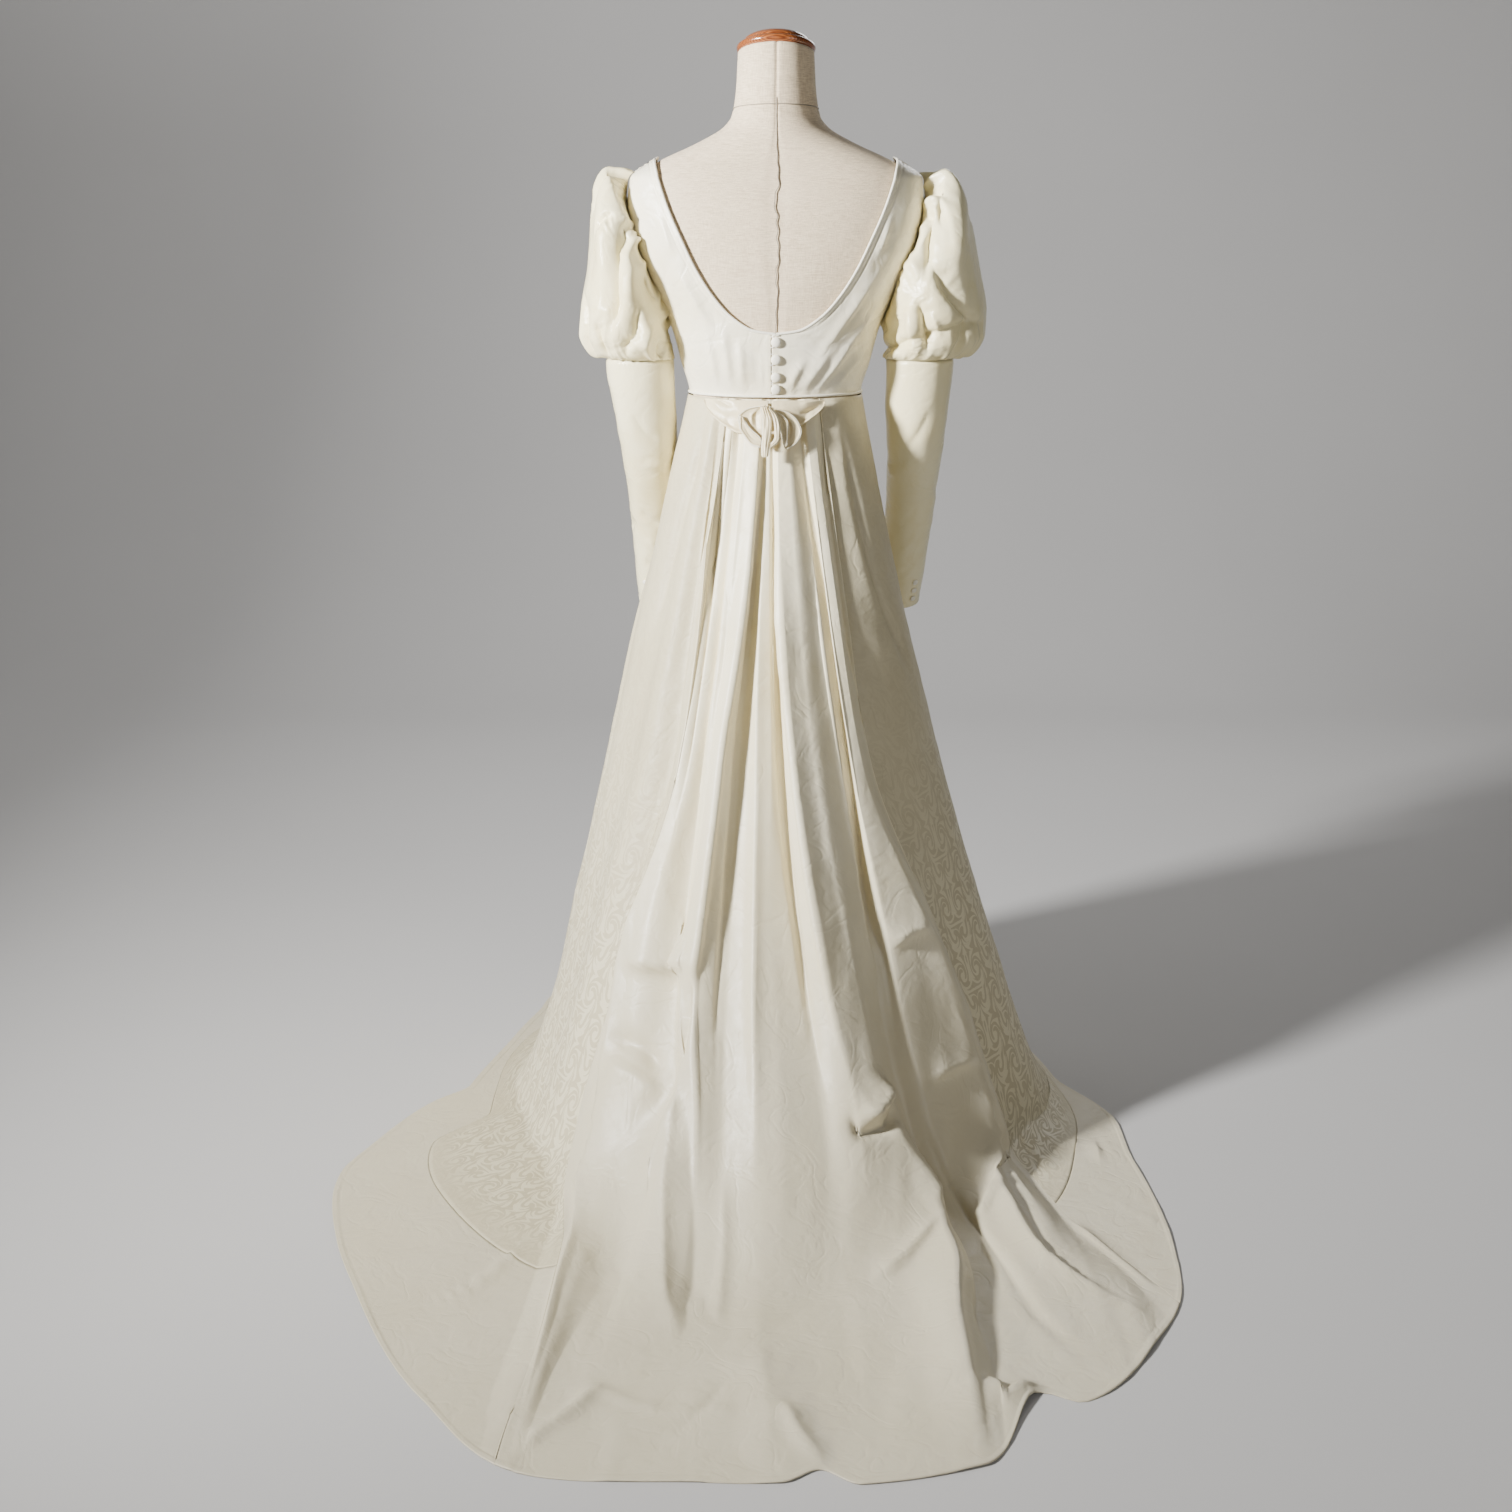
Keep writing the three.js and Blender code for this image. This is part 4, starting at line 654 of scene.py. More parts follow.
def satin(name, light, dark, rough, sheen, crumple, damask=0.0, painted_floor_shade=0.0):
    """Satin, woven with scrolls where damask is more than 0, and darkened towards the floor by painted
    shade.
    """
    maker = Maker(name)
    cloth = maker.add("UVMap", uv_map="cloth")
    place = maker.place
    cloudy, worn = place.noise(5.0, 4.0, 0.6), place.noise(38.0, 5.0, 0.65)
    shade = cloudy.ranged(0.38, 0.7, 0.0, 0.6).math("ADD", worn.ranged(0.45, 0.75, 0.0, 0.35), clamp=True)
    threads = cloth.stretched(260.0, 2600.0, 1.0).noise(1.0, 2.0, 0.6)
    weft, warp = cloth.waves("Y", 380.0, 1.5, 1.0), cloth.waves("X", 240.0, 1.0, 1.0)
    colour = (threads * 0.12).blend(shade.blend(light, dark), dark)
    # Painted shade: the cloth gets darker towards the floor, most in its lowest rows.
    if painted_floor_shade:
        height = maker.add("SeparateXYZ", {0: place}, 2) + cloudy * 0.25
        colour = height.ranged(0.10, 0.95, painted_floor_shade, 0.0).blend(colour, PAINTED_FLOOR_SHADE)
    roughness = worn.ranged(0.3, 0.8, rough - 0.04, rough + 0.1)
    ridge = (place.noise(17.0, 2.0, 0.5, 1.2) - 0.5).size()
    maker.bump(ridge.ranged(0.0, 0.09), 0.0011, 0.34 * crumple)
    maker.bump(place.noise(26.0, 3.0, 0.55, 0.6), 0.004, 0.30 * crumple)
    maker.bump(place.noise(120.0, 3.0, 0.6, 0.4), 0.0009, 0.28 * crumple)
    maker.bump(weft * 0.6 + (warp * 0.3 + threads), 0.00012, 0.5)
    if damask:
        mask = scrolls(maker, cloth)
        shown = maker.add("Attribute", output="Fac", attribute_name="pattern") * damask
        colour = shown.blend(colour, mask.blend(SCROLL_DARK, SCROLL_LIGHT))
        roughness = roughness.math("ADD", (mask - 0.5) * shown * -0.25, clamp=True)
        maker.bump(mask * shown, 0.0003, 0.5)
    return maker.done(colour, roughness, Specular_IOR_Level=0.38, Sheen_Weight=sheen,
                      Sheen_Roughness=0.4, Sheen_Tint=rgb(1.0, 0.97, 0.9))


def linen():
    maker = Maker("form_linen_weave")
    slubs = maker.place.stretched(90.0, 90.0, 1500.0).noise(1.0, 3.0, 0.7)
    warp = maker.place.stretched(1500.0, 1500.0, 70.0).noise(1.0, 3.0, 0.7)
    weave = slubs + warp * 0.7
    colour = weave.ranged(0.6, 1.1).blend(rgb(0.56, 0.43, 0.28), rgb(0.90, 0.75, 0.53))
    cloudy = maker.place.noise(9.0, 4.0, 0.6).ranged(0.4, 0.75, 0.0, 0.35)
    maker.bump(maker.place.noise(22.0, 2.0), 0.003, 0.2)
    maker.bump(weave, 0.0005, 0.75)
    return maker.done(cloudy.blend(colour, rgb(0.74, 0.60, 0.43)), 0.85, Specular_IOR_Level=0.25,
                      Sheen_Weight=0.12, Sheen_Roughness=0.6)


def varnished_wood():
    maker = Maker("cap_varnished_wood")
    stretched = maker.place.stretched(9.0, 95.0, 95.0)
    grain = stretched.waves("Y", 1.4, 5.0, 4.0, 1.5)
    pores = stretched.noise(9.0, 4.0, 0.7)
    colour = grain.blend(rgb(0.13, 0.032, 0.010), rgb(0.36, 0.115, 0.032))
    colour = pores.ranged(0.55, 0.8, 0.0, 0.5).blend(colour, rgb(0.07, 0.018, 0.008))
    maker.bump(grain + pores, 0.0002, 0.3)
    return maker.done(colour, pores.ranged(0.3, 0.8, 0.18, 0.34), Coat_Weight=0.7, Coat_Roughness=0.12)


def painted_steel():
    maker = Maker("stand_painted_steel")
    dust = maker.place.noise(14.0, 5.0, 0.6)
    colour = dust.ranged(0.5, 0.8, 0.0, 0.4).blend(rgb(0.035, 0.033, 0.03), rgb(0.11, 0.105, 0.095))
    maker.bump(maker.place.noise(700.0, 2.0), 0.0002, 0.25)
    return maker.done(colour, dust.ranged(0.3, 0.8, 0.35, 0.6))


def thread(name, light, dark):
    maker = Maker(name)
    twist = maker.place.waves("DIAGONAL", 420.0, 2.0, 2.0)
    maker.bump(twist, 0.0002, 0.5)
    return maker.done(twist.blend(dark, light), 0.6, Sheen_Weight=0.1)


def plain_floor():
    maker = Maker("floor_plain")
    colour = maker.place.noise(1.3).blend(rgb(0.52, 0.51, 0.50), rgb(0.56, 0.55, 0.54))
    return maker.done(colour, 0.8, Specular_IOR_Level=0.2)


# Each satin: its light and dark colour, roughness, sheen and crumple.
BODICE_SATIN = satin("bodice_satin_weave", rgb(0.96, 0.90, 0.72), rgb(0.90, 0.81, 0.57), 0.27, 0.08, 0.8)
SLEEVE_SATIN = satin("sleeve_satin_weave", rgb(0.95, 0.87, 0.58), rgb(0.88, 0.77, 0.43), 0.20, 0.04, 0.7)
# The skirt's satin and the damask below are darkened towards the floor with painted shade.
SKIRT_SATIN = satin("skirt_satin_weave", rgb(0.89, 0.815, 0.60), rgb(0.81, 0.72, 0.48), 0.36, 0.05, 0.7,
                    painted_floor_shade=0.65)
# The damask's colours are darker than the plain satin's: partly its own darker cloth, partly painted shade
# of the side gores that turn away from the light.
DAMASK = satin("skirt_damask_weave", rgb(0.63, 0.56, 0.375), rgb(0.55, 0.48, 0.31), 0.46, 0.06, 0.8,
               damask=0.75, painted_floor_shade=0.3)
# The bow and swags are tinted darker and yellower than the bodice: painted shade of the loops' insides and
# the swags' folds.
SHADED_BOW_SATIN = satin("bow_satin_painted_shade", rgb(0.84, 0.74, 0.49), rgb(0.72, 0.60, 0.36), 0.28, 0.08, 0.5)
PIPING = satin("piping_satin_weave", rgb(0.94, 0.90, 0.77), rgb(0.88, 0.82, 0.65), 0.38, 0.08, 0.3)
LOOP_THREAD = thread("loop_thread", rgb(0.94, 0.92, 0.88), rgb(0.72, 0.70, 0.66))
SEAM_THREAD = thread("form_seam_thread", rgb(0.38, 0.33, 0.25), rgb(0.22, 0.18, 0.13))
LINEN, WOOD, STEEL = linen(), varnished_wood(), painted_steel()


# ---- Putting pieces on the frame ----
def finished(piece, material, slot, *nodes):
    piece.data.materials.clear()
    piece.data.materials.append(material)
    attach(piece, "root")
    if nodes:
        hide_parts(*nodes)


# ---- The skirt and the train ----
SEAM_GAP = 0.3
ROUND = len(FOLDS) - 1  # as many folds as go once round the skirt


def seam_share(fold, station):
    """Half a seam's gap as a share of the space to the next fold."""
    reach = 0.05
    width = np.linalg.norm(skirt_base(fold, station) - skirt_base(fold + reach, station), axis=-1)
    return reach * SEAM_GAP / (2 * width)


def fold_columns(first, last, per_fold):
    """Columns between two places among the folds, closer together beside the seams."""
    inside = np.linspace(first, last, int(round((last - first) * per_fold)) + 1)[1:-1]
    beside = np.array([0.004, 0.012, 0.025])
    return np.concatenate([[first], first + beside, inside, last - beside[::-1], [last]])


def stations_between(first, last, spacing, hem=0.0):
    """Stations spaced evenly along the back of the skirt, with closer rows along a hem."""
    fine = np.linspace(0, 2, 2001)
    line = skirt_base(np.full_like(fine, 14.0), fine)
    length = np.concatenate([[0], np.cumsum(np.linalg.norm(np.diff(line, axis=0), axis=1))])
    start, end = np.interp([first, last], fine, length)
    marks = np.linspace(start, end - hem, max(2, int((end - hem - start) / spacing) + 1))
    if hem:
        marks = np.concatenate([marks, np.linspace(end - hem, end, 8)[1:]])
    return np.interp(marks, length, fine)


# The creases laid on the skirt: rise, width to the left or below, width to the right or above, and
# the line as places among the folds and stations.
SKIRT_CREASES = [
    # soft pleats under the waist, to the left of the bow and to its right
    (-6.0, 7, 11, [(5.5, 0.008), (5.1, 0.034), (5.0, 0.064), (4.9, 0.104), (4.8, 0.22)]),
    (-9.0, 6, 12, [(7.2, 0.008), (7.66, 0.048), (8.0, 0.096), (8.68, 0.146), (9.0, 0.34)]),
    (5.0, 14, 5, [(6.5, 0.010), (6.9, 0.06), (7.3, 0.14), (7.6, 0.3)]),
    (-6.0, 5, 9, [(9.12, 0.008), (9.12, 0.05), (9.08, 0.09), (9.2, 0.16)]),
    (5.0, 14, 6, [(10.4, 0.02), (10.6, 0.15), (10.6, 0.32)]),
    (-7.0, 6, 12, [(10.9, 0.10), (10.6, 0.30), (10.3, 0.46)]),
    (-5.0, 6, 9, [(20.6, 0.012), (20.7, 0.08), (20.9, 0.22)]),
    (-5.0, 6, 9, [(22.0, 0.012), (21.9, 0.10), (21.8, 0.30)]),
    # the left box pleat's edge, the strip inside the pleat, and the deep line beside it
    (6.0, 22, 3.5, [(12.1, 0.012), (12.1, 0.2), (12.1, 0.45), (12.2, 0.80)]),
    (-6.0, 3.5, 5, [(12.75, 0.012), (12.75, 0.2), (12.75, 0.45), (12.7, 0.62)]),
    (10.0, 12, 12, [(13.6, 0.03), (13.6, 0.2), (13.65, 0.31), (13.75, 0.55), (13.8, 0.78)]),
    (-9.0, 4, 5, [(14.9, 0.04), (15.0, 0.2), (15.0, 0.31), (15.1, 0.5), (15.2, 0.64)]),
    (8.0, 3.5, 22, [(15.3, 0.05), (15.85, 0.144), (16.0, 0.270), (15.9, 0.456), (15.84, 0.60)]),
    # the right pleat's far edge, with the dark line beyond it
    (8.0, 24, 3.5, [(17.8, 0.03), (18.1, 0.2), (17.95, 0.298), (17.75, 0.402), (18.1, 0.50), (17.9, 0.58)]),
    (-10.0, 3.5, 12, [(18.14, 0.015), (18.46, 0.146), (18.35, 0.298), (18.10, 0.402), (18.5, 0.48),
                      (18.3, 0.60)]),
    # the left edge of the plain back over the patterned gore
    (9.0, 5, 28, [(8.76, 0.186), (6.98, 0.350), (8.46, 0.592), (8.62, 0.842), (8.10, 1.266),
                  (9.18, 1.926)]),
    # the two bulges in the left of the back, with their shadows below
    (17.0, 9, 60, [(8.28, 0.498), (9.5, 0.472), (10.8, 0.46), (12.06, 0.448)]),
    (-10.0, 7, 16, [(8.5, 0.592), (9.38, 0.578), (9.85, 0.597)]),
    (10.0, 60, 8, [(8.62, 0.618), (9.42, 0.612), (9.9, 0.626)]),
    (-11.0, 9, 18, [(9.9, 0.612), (11.1, 0.560), (11.9, 0.500), (12.18, 0.450)]),
    (9.0, 8, 26, [(10.1, 0.78), (10.4, 0.70), (11.2, 0.60)]),
    (6.0, 36, 12, [(13.0, 0.70), (13.2, 0.90), (13.4, 1.12)]),
    # the pointed flap at the right, and the ridge that runs from it to the hem
    (13.0, 5, 26, [(15.9, 0.655), (16.4, 0.652), (16.9, 0.640), (17.5, 0.606)]),
    (-16.0, 9, 4, [(15.7, 0.640), (16.0, 0.668), (16.6, 0.672), (17.3, 0.64)]),
    (13.0, 40, 5, [(17.56, 0.604), (17.3, 0.75), (16.96, 0.908), (16.94, 1.346), (16.98, 1.982)]),
    (-9.0, 5, 16, [(18.2, 0.60), (18.05, 0.76), (17.5, 0.93), (17.5, 1.3), (17.6, 1.7)]),
    (7.0, 8, 20, [(15.9, 0.96), (16.4, 0.94), (16.9, 0.91)]),
    (-5.0, 8, 9, [(18.6, 0.66), (18.6, 1.394), (18.96, 1.952)]),
    # the long fold at the right whose edge shades the patterned gore
    (14.0, 34, 4.5, [(19.80, 0.30), (19.80, 0.460), (19.78, 0.670), (19.62, 0.95), (19.50, 1.292),
                     (19.62, 1.478), (19.96, 1.780), (20.26, 2.0)]),
    (8.0, 5, 24, [(18.90, 0.454), (19.32, 0.448), (19.80, 0.460)]),
    (9.0, 5, 28, [(19.10, 0.638), (19.40, 0.650), (19.76, 0.674)]),
    (7.0, 5, 24, [(18.9, 1.02), (19.2, 1.02), (19.56, 1.04)]),
    (-7.0, 5, 22, [(20.3, 0.30), (20.25, 0.6), (20.2, 0.95), (20.2, 1.3)]),
    # the turned-up piece of the hem, and the waves beside it
    (11.0, 26, 8, [(17.3, 1.70), (17.8, 1.84), (18.42, 1.965)]),
    (-7.0, 8, 12, [(18.0, 1.74), (18.5, 1.86), (18.95, 1.97)]),
    (7.0, 18, 12, [(15.14, 1.996), (14.72, 1.798), (14.42, 1.536)]),
    # long soft folds of the train on the floor
    (8.0, 14, 10, [(9.34, 1.936), (10.56, 1.706), (11.28, 1.480)]),
    (5.0, 5, 12, [(6.88, 1.144), (6.76, 1.304), (6.66, 1.528), (6.48, 1.770)]),
    (-4.0, 5, 6, [(4.4, 1.3), (5.0, 1.5), (5.3, 1.8)]),
    (5.0, 5, 8, [(22.08, 1.388), (22.12, 1.6), (22.18, 1.892)]),
    (4.0, 5, 7, [(23.0, 1.3), (23.3, 1.6), (23.4, 1.86)]),
    (-5.0, 5, 8, [(21.6, 1.35), (21.5, 1.6), (21.3, 1.9)]),
    (4.0, 5, 7, [(21.0, 1.4), (20.9, 1.65), (20.8, 1.9)]),
    (3.0, 7, 7, [(10.5, 1.5), (12.5, 1.62), (14.0, 1.60)]),
    (-3.0, 6, 6, [(12.0, 1.85), (13.2, 1.6), (13.6, 1.4)]),
    # the broad slopes of the train between the bulges and the hem
    (12.0, 70, 18, [(10.7, 0.60), (11.2, 0.8), (11.8, 1.0), (12.6, 1.24)]),
    (-5.0, 14, 40, [(11.6, 0.62), (12.1, 0.8), (12.6, 1.0), (13.1, 1.16)]),
    (7.0, 70, 50, [(14.0, 1.1), (14.2, 1.5), (14.3, 1.97)]),
    # the sides and the front
    (-9.0, 9, 13, [(2.6, 0.012), (2.7, 0.2), (2.8, 0.6), (2.9, 0.9)]),
    (7.0, 16, 6, [(3.6, 0.10), (3.7, 0.5), (3.8, 0.9)]),
    (-9.0, 13, 9, [(24.4, 0.012), (24.3, 0.2), (24.2, 0.6), (24.1, 0.9)]),
    (7.0, 6, 16, [(23.4, 0.10), (23.3, 0.5), (23.2, 0.9)]),
    (-9.0, 10, 14, [(0.9, 0.02), (1.0, 0.4), (1.1, 0.9), (1.2, 1.5)]),
    (-9.0, 14, 10, [(25.1, 0.02), (25.0, 0.4), (24.9, 0.9), (24.8, 1.5)]),
]

# How much of its rise and width in the table a crease has.
CREASE_DEPTH, CREASE_WIDTH = 1.25, 0.85
# How far from the edge the hem is turned up and stitched.
HEM_DEPTH = 11


def draped(grid, seed, hem, lively, from_waist):
    """The base points with their ripples, creases, pressed seams and hem."""
    normals = grid_normals(grid)
    across, along = flat_map(grid)
    to_hem = along[-1:] - along
    height = rumple(across, along + 400 * seed, seed, 5.0, 40.0) * 2.0 * lively
    edge = np.minimum(np.abs(across - across[:, :1]), np.abs(across - across[:, -1:]))
    height *= smoothstep(along, 0, 60) * smoothstep(edge, 0, 25)
    if not hem:
        height *= smoothstep(to_hem, 0, 45)
    held = smoothstep(along, 0, 25) if from_waist else 1.0
    creases = [(CREASE_DEPTH * rise, CREASE_WIDTH * before, CREASE_WIDTH * after, line)
               for rise, before, after, line in SKIRT_CREASES]
    height += held * creases_over(grid, normals, creases, skirt_base)
    height -= 0.35 * np.exp(-((edge / 2.5) ** 2))
    if hem:
        height += 0.9 * smoothstep(-to_hem, -HEM_DEPTH, 3 - HEM_DEPTH)
        height -= 0.5 * np.exp(-(((to_hem - HEM_DEPTH) / 1.2) ** 2))
    moved = grid + normals * height[..., None]
    moved[..., 2] = np.maximum(moved[..., 2], CLOTH + OFF_FLOOR)
    return moved


def fade_pattern(piece, stations, ends):
    """How strongly the damask shows: little near the waist, and less again where it ends."""
    shown = 0.12 + 0.88 * smoothstep(stations, 0.22, 0.58)
    if ends is not None:
        shown = shown * (1 - 0.85 * smoothstep(stations, ends - 0.22, ends - 0.02))
    layer = piece.data.attributes.new("pattern", "FLOAT", "POINT")
    layer.data.foreach_set("value", np.tile(shown.ravel(), 2).astype(np.float32))


def skirt_piece(name, node, columns, stations, patterned, seed, hem=True, lively=1.0, from_waist=True):
    """A piece of the skirt from its columns of folds and, for each column, a run of stations."""
    fold = np.broadcast_to(columns, stations.shape).copy()
    fold[:, 0] += seam_share(fold[:, 0], stations[:, 0])
    fold[:, -1] -= seam_share(fold[:, -1] - 0.05, stations[:, -1])
    moved = draped(skirt_base(fold, stations), seed, hem, lively, from_waist)
    piece = shell(name, moved)
    if patterned:
        fade_pattern(piece, stations, None if hem else damask_end(columns))
    material, slot = (DAMASK, "skirt_damask") if patterned else (SKIRT_SATIN, "train_satin")
    finished(piece, material, slot, node)


def even_rows(starts, ends, rows, hem=False):
    """A run of stations for every column, from its start to its end."""
    share = np.linspace(0, 1, rows)
    if hem:
        share = np.concatenate([share * 0.96, 1 - 0.04 * np.linspace(1, 0, 8)[1:]])
    return starts + (ends - starts) * share[:, None]


# The patterned pieces: node, first and last fold, columns to a fold, spacing of the rows down to
# the floor and number of rows from there, seed, and whether their end is hemmed.
PATTERNED = [
    ("gore_left_cloth", "skirt_gore_left", "side_seam_left", "back_edge_left", 18, 9, 26, 11, False),
    ("gore_right_cloth", "skirt_gore_right", "gore_tuck_right", "side_seam_right", 18, 9, 26, 17, False),
    ("front_cloth", "skirt_front", "side_seam_right", "side_seam_left", 16, 10, 12, 23, True),
]
# The stations where the rows close to the floor begin and where the hem lies.
NEAR_FLOOR, HEM_STATION = 0.95, 2
# Columns to a fold, and the spacing or number of rows, of the train and of its plain sides.
TRAIN_COLUMNS, TRAIN_SPACING = 15, 7.5
WING_COLUMNS, WING_ROWS = 22, 60
# The gap between the damask's end and the plain side beyond it.
WING_GAP = 0.4
# The plain sides of the train: node, first fold and how far past it they begin, last fold, seed.
WINGS = [
    ("wing_left_cloth", "train_wing_left", "front_flute_left", 1 / 3, "back_edge_left", 31),
    ("wing_right_cloth", "train_wing_right", "gore_tuck_right", 0, "side_seam_right", 37),
]


def build_skirt():
    down = stations_between(0, HEM_STATION, TRAIN_SPACING, hem=18)
    train = fold_columns(FOLD_AT["back_edge_left"], FOLD_AT["gore_tuck_right"], TRAIN_COLUMNS)
    rows = np.broadcast_to(down[:, None], (len(down), len(train)))
    skirt_piece("train_cloth", "skirt_train", train, rows, patterned=False, seed=3)
    for name, node, first, last, per_fold, spacing, floor_rows, seed, hem in PATTERNED:
        first, last = FOLD_AT[first], FOLD_AT[last]
        last += ROUND if last < first else 0
        columns = np.mod(fold_columns(first, last, per_fold), ROUND)
        ends = damask_end(columns)
        upper = stations_between(0, NEAR_FLOOR, spacing)
        lower = even_rows(NEAR_FLOOR, ends, floor_rows)[1:]
        stations = np.concatenate([np.broadcast_to(upper[:, None], (len(upper), len(columns))), lower])
        skirt_piece(name, node, columns, stations, patterned=True, seed=seed, hem=hem)
    for name, node, first, past, last, seed in WINGS:
        columns = fold_columns(FOLD_AT[first] + past, FOLD_AT[last], WING_COLUMNS)
        starts = damask_end(columns)
        reach = 0.05
        stride = np.linalg.norm(skirt_base(columns, starts) - skirt_base(columns, starts + reach), axis=-1)
        stations = even_rows(starts + reach * WING_GAP / stride, HEM_STATION, WING_ROWS, hem=True)
        skirt_piece(name, node, columns, stations, False, seed, lively=0.6, from_waist=False)


# ---- The bodice ----
# The drag folds of the bodice: rise, widths, and places across and up on its outside.
BODICE_CREASES = [
    (5.0, 9, 16, [(146, 1236), (104, 1172), (60, 1108), (34, 1070)]),
    (-2.0, 6, 6, [(138, 1214), (100, 1158), (58, 1100), (40, 1076)]),
    (4.5, 7, 11, [(144, 1190), (116, 1150), (78, 1098), (58, 1064)]),
    (3.4, 4, 7, [(14, 1052), (24, 1078), (42, 1108)]),
    (3.6, 5, 8, [(32, 1052), (50, 1082), (80, 1124)]),
    (4.0, 5, 8, [(50, 1052), (72, 1086), (108, 1132)]),
    (3.6, 5, 7, [(72, 1053), (94, 1084), (126, 1120)]),
    (-2.0, 4, 4, [(46, 1054), (64, 1082), (96, 1124)]),
    (4.0, 9, 6, [(-72, 1158), (-64, 1105), (-58, 1056)]),
    (3.4, 8, 5, [(-48, 1140), (-45, 1095), (-43, 1056)]),
    (3.4, 8, 5, [(-96, 1150), (-82, 1100), (-76, 1056)]),
    (-2.0, 5, 5, [(-26, 1126), (-25, 1090), (-25, 1056)]),
    (3.6, 9, 7, [(-140, 1234), (-106, 1180), (-78, 1134)]),
    (2.4, 6, 6, [(152, 1296), (142, 1262), (132, 1232)]),
    (2.4, 6, 6, [(-152, 1294), (-143, 1262), (-134, 1234)]),
]
# The same for the front, where the bust darts and a few soft folds show.
FRONT_CREASES = [
    (-2.0, 2.4, 2.4, [(78, 1056), (76, 1090), (73, 1128)]),
    (-2.0, 2.4, 2.4, [(-78, 1056), (-76, 1090), (-73, 1128)]),
    (-2.4, 5, 6, [(140, 1215), (118, 1190), (98, 1172)]),
    (-2.4, 5, 6, [(-140, 1218), (-120, 1192), (-99, 1170)]),
    (-2.0, 4, 5, [(30, 1056), (32, 1080), (38, 1108)]),
    (-2.0, 4, 5, [(-34, 1056), (-36, 1082), (-44, 1110)]),
]

SIDES = {1: "right", -1: "left"}
BACK_EDGE_X = -6.0
# How far an edge stands off the line that it is sewn or buttoned along.
SEAM_EASE = 0.5
# The last row of the panels, just past the waist seam, and how far a fold may dip and rise.
PANEL_END = 10.15
PANEL_LIMITS = (-2.0, 8)
# How wide the facing along the neck is, to its stitched line.
FACING = 8.0
WAIST_PIPING_HEIGHT = 1053.9
BUTTON_HEIGHTS = [1127, 1104, 1081, 1064]


def panel_grid(rows, front, row, share):
    """A panel's points, from its neck edge to its armhole and side edge in each row."""
    neck_z, neck, edge_z, edge = [v[:, None] for v in panel_edges(rows, row, front)]
    z = neck_z + (edge_z - neck_z) * share
    return body_point(z, neck + (edge - neck) * share, OUTER)


def back_grid(side):
    """The back panel's points from its closing or neck edge to its side."""
    row = runs((0, 1, 24), (1, 7.5, 84), (7.5, PANEL_END, 56))
    share = np.concatenate([[0, 0.006, 0.014, 0.024, 0.036, 0.05, 0.066, 0.084], np.linspace(0.11, 1, 56)])
    grid = panel_grid(BACK_ROWS, False, row, share)
    edge_x = side * BACK_EDGE_X + SEAM_EASE
    pull = (edge_x - grid[:, :1, 0]) * smoothstep(row, 7.45, 8)[:, None] * (1 - share) ** 2
    grid[..., 0] += pull
    return grid if side > 0 else mirrored(grid)


def front_grid():
    """The right half of the front panel."""
    row = runs((0, 1, 20), (1, 7, 60), (7, PANEL_END, 46))
    share = np.concatenate([[0, 0.01, 0.024, 0.045, 0.07], np.linspace(0.1, 1, 40)])
    return panel_grid(FRONT_ROWS, True, row, share)[:, ::-1]


def worn_panel(name, grid, seed, neck_column, front=False):
    """The panel with its soft folds, the pressed facing along the neck and the closing."""
    normals = grid_normals(grid)
    across, along = flat_map(grid)
    height = 1.3 * rumple(across, along, seed, 3.0, 26.0)

    def on_panel(x, z):
        angle = angle_at(z, np.abs(x)) * np.sign(x)
        return body_point(z, 180 - angle if front else angle, OUTER)

    creases = FRONT_CREASES if front else BODICE_CREASES
    height += creases_over(grid, normals, creases, on_panel, 0.4, 1.6)
    from_neck = np.abs(across - across[:, neck_column][:, None])
    height *= smoothstep(from_neck, 3, 22)
    height += 0.7 * (1 - smoothstep(from_neck, 6.4, 7.6))
    height -= 0.9 * np.exp(-(((from_neck - FACING) / 0.9) ** 2))
    return shell(name, grid + normals * np.clip(height, *PANEL_LIMITS)[..., None])


def build_bodice():
    for side, word in SIDES.items():
        neck_column = 0 if side > 0 else -1
        panel = worn_panel(f"bodice_{word}_cloth", back_grid(side), 41 + side, neck_column)
        finished(panel, BODICE_SATIN, "bodice_satin", f"bodice_back_{word}")
    half = front_grid()
    halves = [worn_panel("front_half", half, 47, -1, True)]
    halves.append(worn_panel("front_half", mirrored(half), 47, 0, True))
    finished(joined("bodice_front_cloth", halves), BODICE_SATIN, "bodice_satin", "bodice_front")


def neck_edge(distance):
    """Points along the neck from the right of the closing round by the front to its left."""
    row = np.linspace(8, 0.02, 90)
    back = body_point(*panel_edges(BACK_ROWS, row, False)[:2], distance)
    back[:, 0] += (BACK_EDGE_X + SEAM_EASE - back[0, 0]) * smoothstep(row, 7.45, 8)
    front = body_point(*panel_edges(FRONT_ROWS, np.linspace(0.02, 7, 70), True)[:2], distance)
    right = np.concatenate([back, front[1:]])
    left = right[::-1].copy()
    left[:, 0] *= -1
    line = np.concatenate([right, left[1:]])
    line[-1, 0] = BACK_EDGE_X - SEAM_EASE
    return line


def build_cords():
    finished(tube("neck_piping", neck_edge(OUTER - 0.2), 1.9, 10), PIPING, "bodice_satin", "neck_cord")
    angle = np.linspace(0, 360, 181)[:-1]
    line = body_point(np.full_like(angle, 1056.0), angle, OUTER + 0.5)
    line[:, 2] = WAIST_PIPING_HEIGHT
    finished(tube("waist_piping", line, 1.8, 12, True), PIPING, "bodice_satin", "waist_cord")


# ---- The sleeves ----
def sleeve_cloth(side, moved, name, node):
    """A sleeve's piece from its grid, which is made as for the right arm."""
    piece = shell(f"{name}_{SIDES[side]}_cloth", moved if side > 0 else mirrored(moved), wrap=True)
    finished(piece, SLEEVE_SATIN, "sleeve_satin", f"{node}_{SIDES[side]}")


